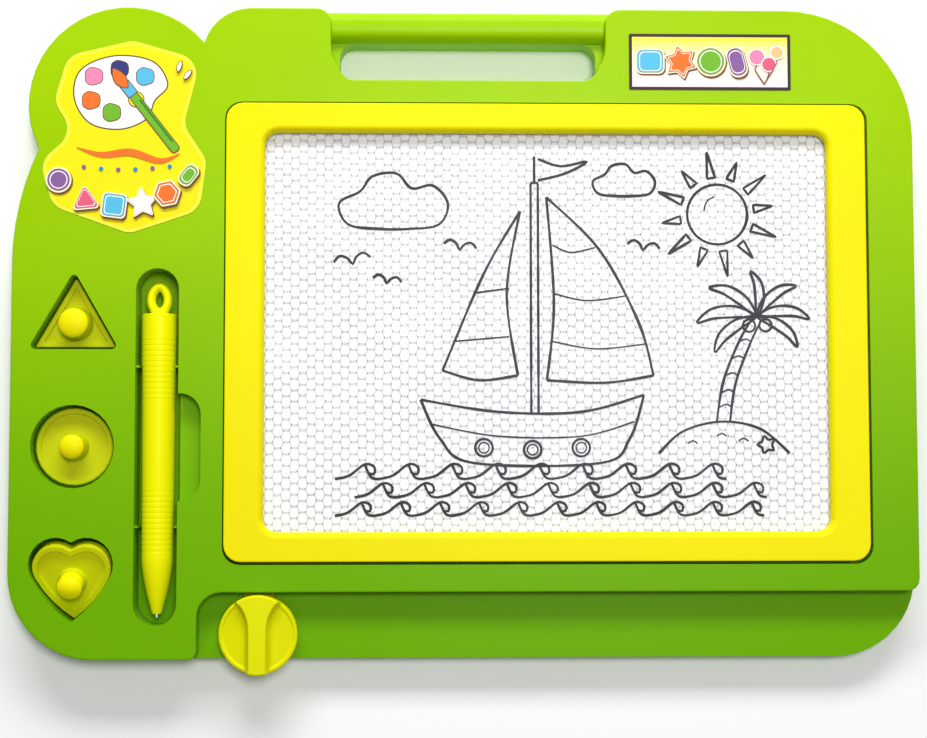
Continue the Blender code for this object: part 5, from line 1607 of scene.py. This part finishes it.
@dataclass
class Labels:
    """The die-cut label on the lobe and the bordered label by the handle."""

    level: float = 0.0202
    left_centre: tuple[float, float] = (-0.1404, 0.08235)
    left_size: tuple[float, float] = (0.0680, 0.0800)
    left_corner: float = 0.0090
    left_shares: tuple[tuple[float, float], ...] = (
        (-0.34, 0.42), (-0.42, 0.18), (-0.30, 0.02), (-0.50, -0.13), (-0.42, -0.36), (0.04, -0.50),
        (0.46, -0.38), (0.50, -0.12), (0.36, 0.06), (0.46, 0.40), (0.05, 0.50),
    )
    right_centre: tuple[float, float] = (0.1012, 0.11455)
    right_size: tuple[float, float] = (0.0672, 0.0235)
    border: float = 0.0013
    bands: int = 12
    brush_turn: float = math.radians(128)

    def left(self) -> None:
        """Palette and brush over a ribbon, dots and a row of tiles."""
        x0, y0 = self.left_centre
        label = Label("lobe_label", "sticker_left", self.level)
        width, depth = self.left_size
        corners = [(x0 + x * width, y0 + y * depth, self.left_corner) for x, y in self.left_shares]
        edge = rounded(corners, 10)
        label.patch(edge, Ink.PALE)
        label.patch(grown(edge, -0.0014), Ink.LEMON)
        self._palette(label)
        ribbon = stroke([
            (-0.020, -0.0010), (-0.010, -0.0040), (0.002, -0.0030), (0.014, -0.0065), (0.022, -0.0035),
        ], 0.0030, True)
        label.patch(placed(ribbon, x0 + 0.001, y0 - 0.0035), Ink.ORANGE)
        for i, x in enumerate((-0.016, -0.009, -0.002, 0.005, 0.012, 0.019)):
            dot = circle((x0 + x, y0 - 0.0125 - 0.0012 * math.cos(x * 90)), 0.0009, 12)
            label.patch(dot, (Ink.PURPLE, Ink.BLUE)[i % 2])
        wedge = rounded([(-0.0052, -0.0040, 0.0011), (0.0052, -0.0040, 0.0011), (0, 0.0052, 0.0011)], 4)
        turns = [math.pi * i / 3 for i in range(6)]
        corners = [(0.0050 * math.cos(turn), 0.0050 * math.sin(turn), 0.0010) for turn in turns]
        hexagon = rounded(corners, 3)
        row = (
            (circle((0, 0), 0.0044, 28), Ink.PURPLE, -0.0262, -0.0180, 0.0),
            (wedge, Ink.ROSE, -0.0152, -0.0255, 0.1),
            (bar(0.0088, 0.0088, 0.0016), Ink.SKY, -0.0035, -0.0285, -0.12),
            (star(0.0062), Ink.WHITE, 0.0080, -0.0275, 0.1),
            (hexagon, Ink.ORANGE, 0.0180, -0.0235, 0.2),
            (bar(0.0080, 0.0050, 0.0022), Ink.GREEN, 0.0268, -0.0160, 0.9),
        )
        for outline, ink, x, y, tilt in row:
            label.tile(outline, ink, x0 + x, y0 + y, tilt)
        dash = stroke([(-0.0022, 0), (0, 0.0002), (0.0022, 0)], 0.0016, True)
        for x, y, tilt in ((0.0262, 0.0255, 0.9), (0.0228, 0.0290, 1.25)):
            label.rimmed(placed(dash, x0 + x, y0 + y, tilt), Ink.WHITE, 0.0003)
        label.done()

    def _palette(self, label: Label) -> None:
        """Prints the palette with its hole and five dabs of paint, and the brush across it.

        Args:
            label: The label on the lobe.
        """
        x0, y0 = self.left_centre
        palette = smooth_path([
            (-0.019, 0.002), (-0.015, 0.013), (-0.001, 0.017), (0.014, 0.013), (0.019, 0.003),
            (0.013, -0.003), (0.009, -0.010), (-0.002, -0.013), (-0.014, -0.009),
        ], True)[::-1]
        label.rimmed(placed(palette, x0 - 0.001, y0 + 0.0165, 0.12), Ink.WHITE, 0.0006)
        dab = [p * (1 + 0.07 * math.sin(2.2 * i)) for i, p in enumerate(circle((0, 0), 0.0036, 10))]
        spots = (
            (-0.0115, 0.0075, Ink.PINK), (-0.001, 0.0105, Ink.NAVY), (0.0095, 0.0075, Ink.SKY),
            (-0.0125, -0.0025, Ink.ORANGE), (-0.004, -0.0075, Ink.GREEN),
        )
        for x, y, ink in spots:
            here = placed(smooth_path(dab, True, 3), x0 - 0.001 + x, y0 + 0.0175 + y)
            label.rimmed(here, ink, 0.00035)
        hole = placed(circle((0.006, -0.001), 0.0030, 24), x0 - 0.001, y0 + 0.0165)
        label.rimmed(hole, Ink.LEMON, 0.0004)
        brush = (
            (bar(0.030, 0.0034, 0.0012), 0.0125, 0.0060, Ink.GREEN),
            (bar(0.0062, 0.0040, 0.0004), 0.0018, 0.0198, Ink.SKY),
            (stroke([(-0.0045, 0), (0, 0.0003), (0.0050, 0)], 0.0046, True), -0.0014, 0.0240, Ink.ORANGE),
        )
        for outline, x, y, ink in brush:
            label.rimmed(placed(outline, x0 + x, y0 + y, self.brush_turn), ink, 0.0004)
        line = placed(bar(0.022, 0.0007, 0.0003), x0 + 0.0133, y0 + 0.0066, self.brush_turn)
        label.patch(line, Ink.LEAF)

    def right(self) -> None:
        """Dark border, a ground from yellow at the back to blush, tiles and an ice-cream cone."""
        x0, y0 = self.right_centre
        width, depth = self.right_size
        label = Label("handle_label", "sticker_right", self.level)
        label.patch(placed(bar(width, depth, 0.0006), x0, y0), Ink.BORDER)
        inner = (width - 2 * self.border, depth - 2 * self.border)
        label.patch(placed(bar(*inner, 0.0003), x0, y0), Ink.CREAM)
        label.fade((x0, y0), inner, (Ink.BLUSH, Ink.CREAM, Ink.SUNNY), self.bands)
        row = (
            (bar(0.0104, 0.0092, 0.0022), Ink.SKY, -0.0248, 0.0002, 0.0),
            (star(0.0066, 6, 0.62), Ink.ORANGE, -0.0122, 0.0, 0.2),
            (circle((0, 0), 0.0054, 28), Ink.GREEN, 0.0003, 0.0002, 0.0),
            (bar(0.0066, 0.0112, 0.0030), Ink.PURPLE, 0.0112, 0.0, 0.25),
        )
        for outline, ink, x, y, turn in row:
            label.tile(outline, ink, x0 + x, y0 + y, turn)
        scoops = ((0.0195, 0.0020, Ink.PINK), (0.0245, -0.0010, Ink.ROSE), (0.0278, 0.0040, Ink.SAND))
        for i, (x, y, ink) in enumerate(scoops):
            label.rimmed(circle((x0 + x, y0 + y), 0.0031 - 0.0003 * i, 20), ink, 0.0004, Ink.WHITE)
            low = [(x0 + x, y0 + y - 0.0034), (x0 + x - 0.0006, y0 + y - 0.0055)]
            label.patch(stroke([*low, (x0 + 0.0225, y0 - 0.0092)], 0.0004), Ink.BROWN)
        label.done()

    def build(self) -> None:
        """Prints both labels."""
        self.left()
        self.right()


@dataclass(frozen=True)
class Lamp:
    """A soft rectangular light that faces the board's middle."""

    name: str
    place: tuple[float, float, float]
    size: tuple[float, float]
    power: float

    def hang(self) -> None:
        """Puts the light in the scene."""
        data = bpy.data.lights.new(self.name, "AREA")
        data.shape = "RECTANGLE"
        data.size, data.size_y = self.size
        data.energy = self.power
        obj = bpy.data.objects.new(self.name, data)
        bpy.context.scene.collection.objects.link(obj)
        obj.location = self.place
        obj.rotation_euler = (-Vector(self.place)).to_track_quat("-Z", "Y").to_euler()


@dataclass
class Studio:
    """Floor, soft light from behind and above, and the photograph's camera."""

    floor_reach: float = 2.5
    lamps: tuple[Lamp, ...] = (
        Lamp("key", (-0.02, 0.9, 0.66), (1.0, 0.3), 12.5),
        Lamp("top", (0.16, 0.2, 1.6), (0.45, 0.35), 11.4),
    )
    world_light: float = 0.22
    place: tuple[float, float, float] = (-0.0189, -0.05875, 0.7335)
    turn: tuple[float, float, float] = (0.064, -0.0249, -0.001)
    focal_pixels: float = 1750
    photo_width: float = 927
    sensor: float = 36.0

    def floor(self) -> None:
        """Lays the floor, which is part of the stage and not of the board."""
        shape = bmesh.new()
        bmesh.ops.create_grid(shape, x_segments=8, y_segments=8, size=self.floor_reach)
        mesh = bpy.data.meshes.new("floor")
        shape.to_mesh(mesh)
        shape.free()
        floor = link("floor", mesh)
        floor.data.materials.append(Finish.FLOOR.made())

    def light(self) -> None:
        """Sets the lamps and the even light of the world."""
        for lamp in self.lamps:
            lamp.hang()
        world = bpy.data.worlds.new("studio")
        world.use_nodes = True
        background = world.node_tree.nodes["Background"]
        background.inputs[0].default_value = (1, 1, 1, 1)
        background.inputs[1].default_value = self.world_light
        bpy.context.scene.world = world
        bpy.context.scene.view_settings.view_transform = "Standard"

    def camera(self) -> None:
        """Sets the camera where the photograph was taken from."""
        data = bpy.data.cameras.new("camera")
        data.lens = self.focal_pixels * self.sensor / self.photo_width
        data.sensor_width = self.sensor
        camera = bpy.data.objects.new("camera", data)
        bpy.context.scene.collection.objects.link(camera)
        rx, ry, rz = self.turn
        turn = Matrix.Rotation(rz, 4, "Z") @ Matrix.Rotation(ry, 4, "Y") @ Matrix.Rotation(rx, 4, "X")
        camera.matrix_world = Matrix.Translation(self.place) @ turn
        bpy.context.scene.camera = camera

    def build(self) -> None:
        """Sets up the studio."""
        self.floor()
        self.light()
        self.camera()


def write_sizes() -> None:
    """Updates the view layer.
    """
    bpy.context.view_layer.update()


def main() -> None:
    """Builds every sub-assembly in order."""
    logging.basicConfig(level=logging.INFO, format="%(name)s: %(message)s")
    parts = (Housing(), Screws(), Bezel(), ScreenPanel(), Eraser(), Pen(), Stamps(), Labels(), Studio())
    for part in parts:
        part.build()
        LOG.info("%s built", type(part).__name__)
    write_sizes()


if __name__ == "__main__":
    main()
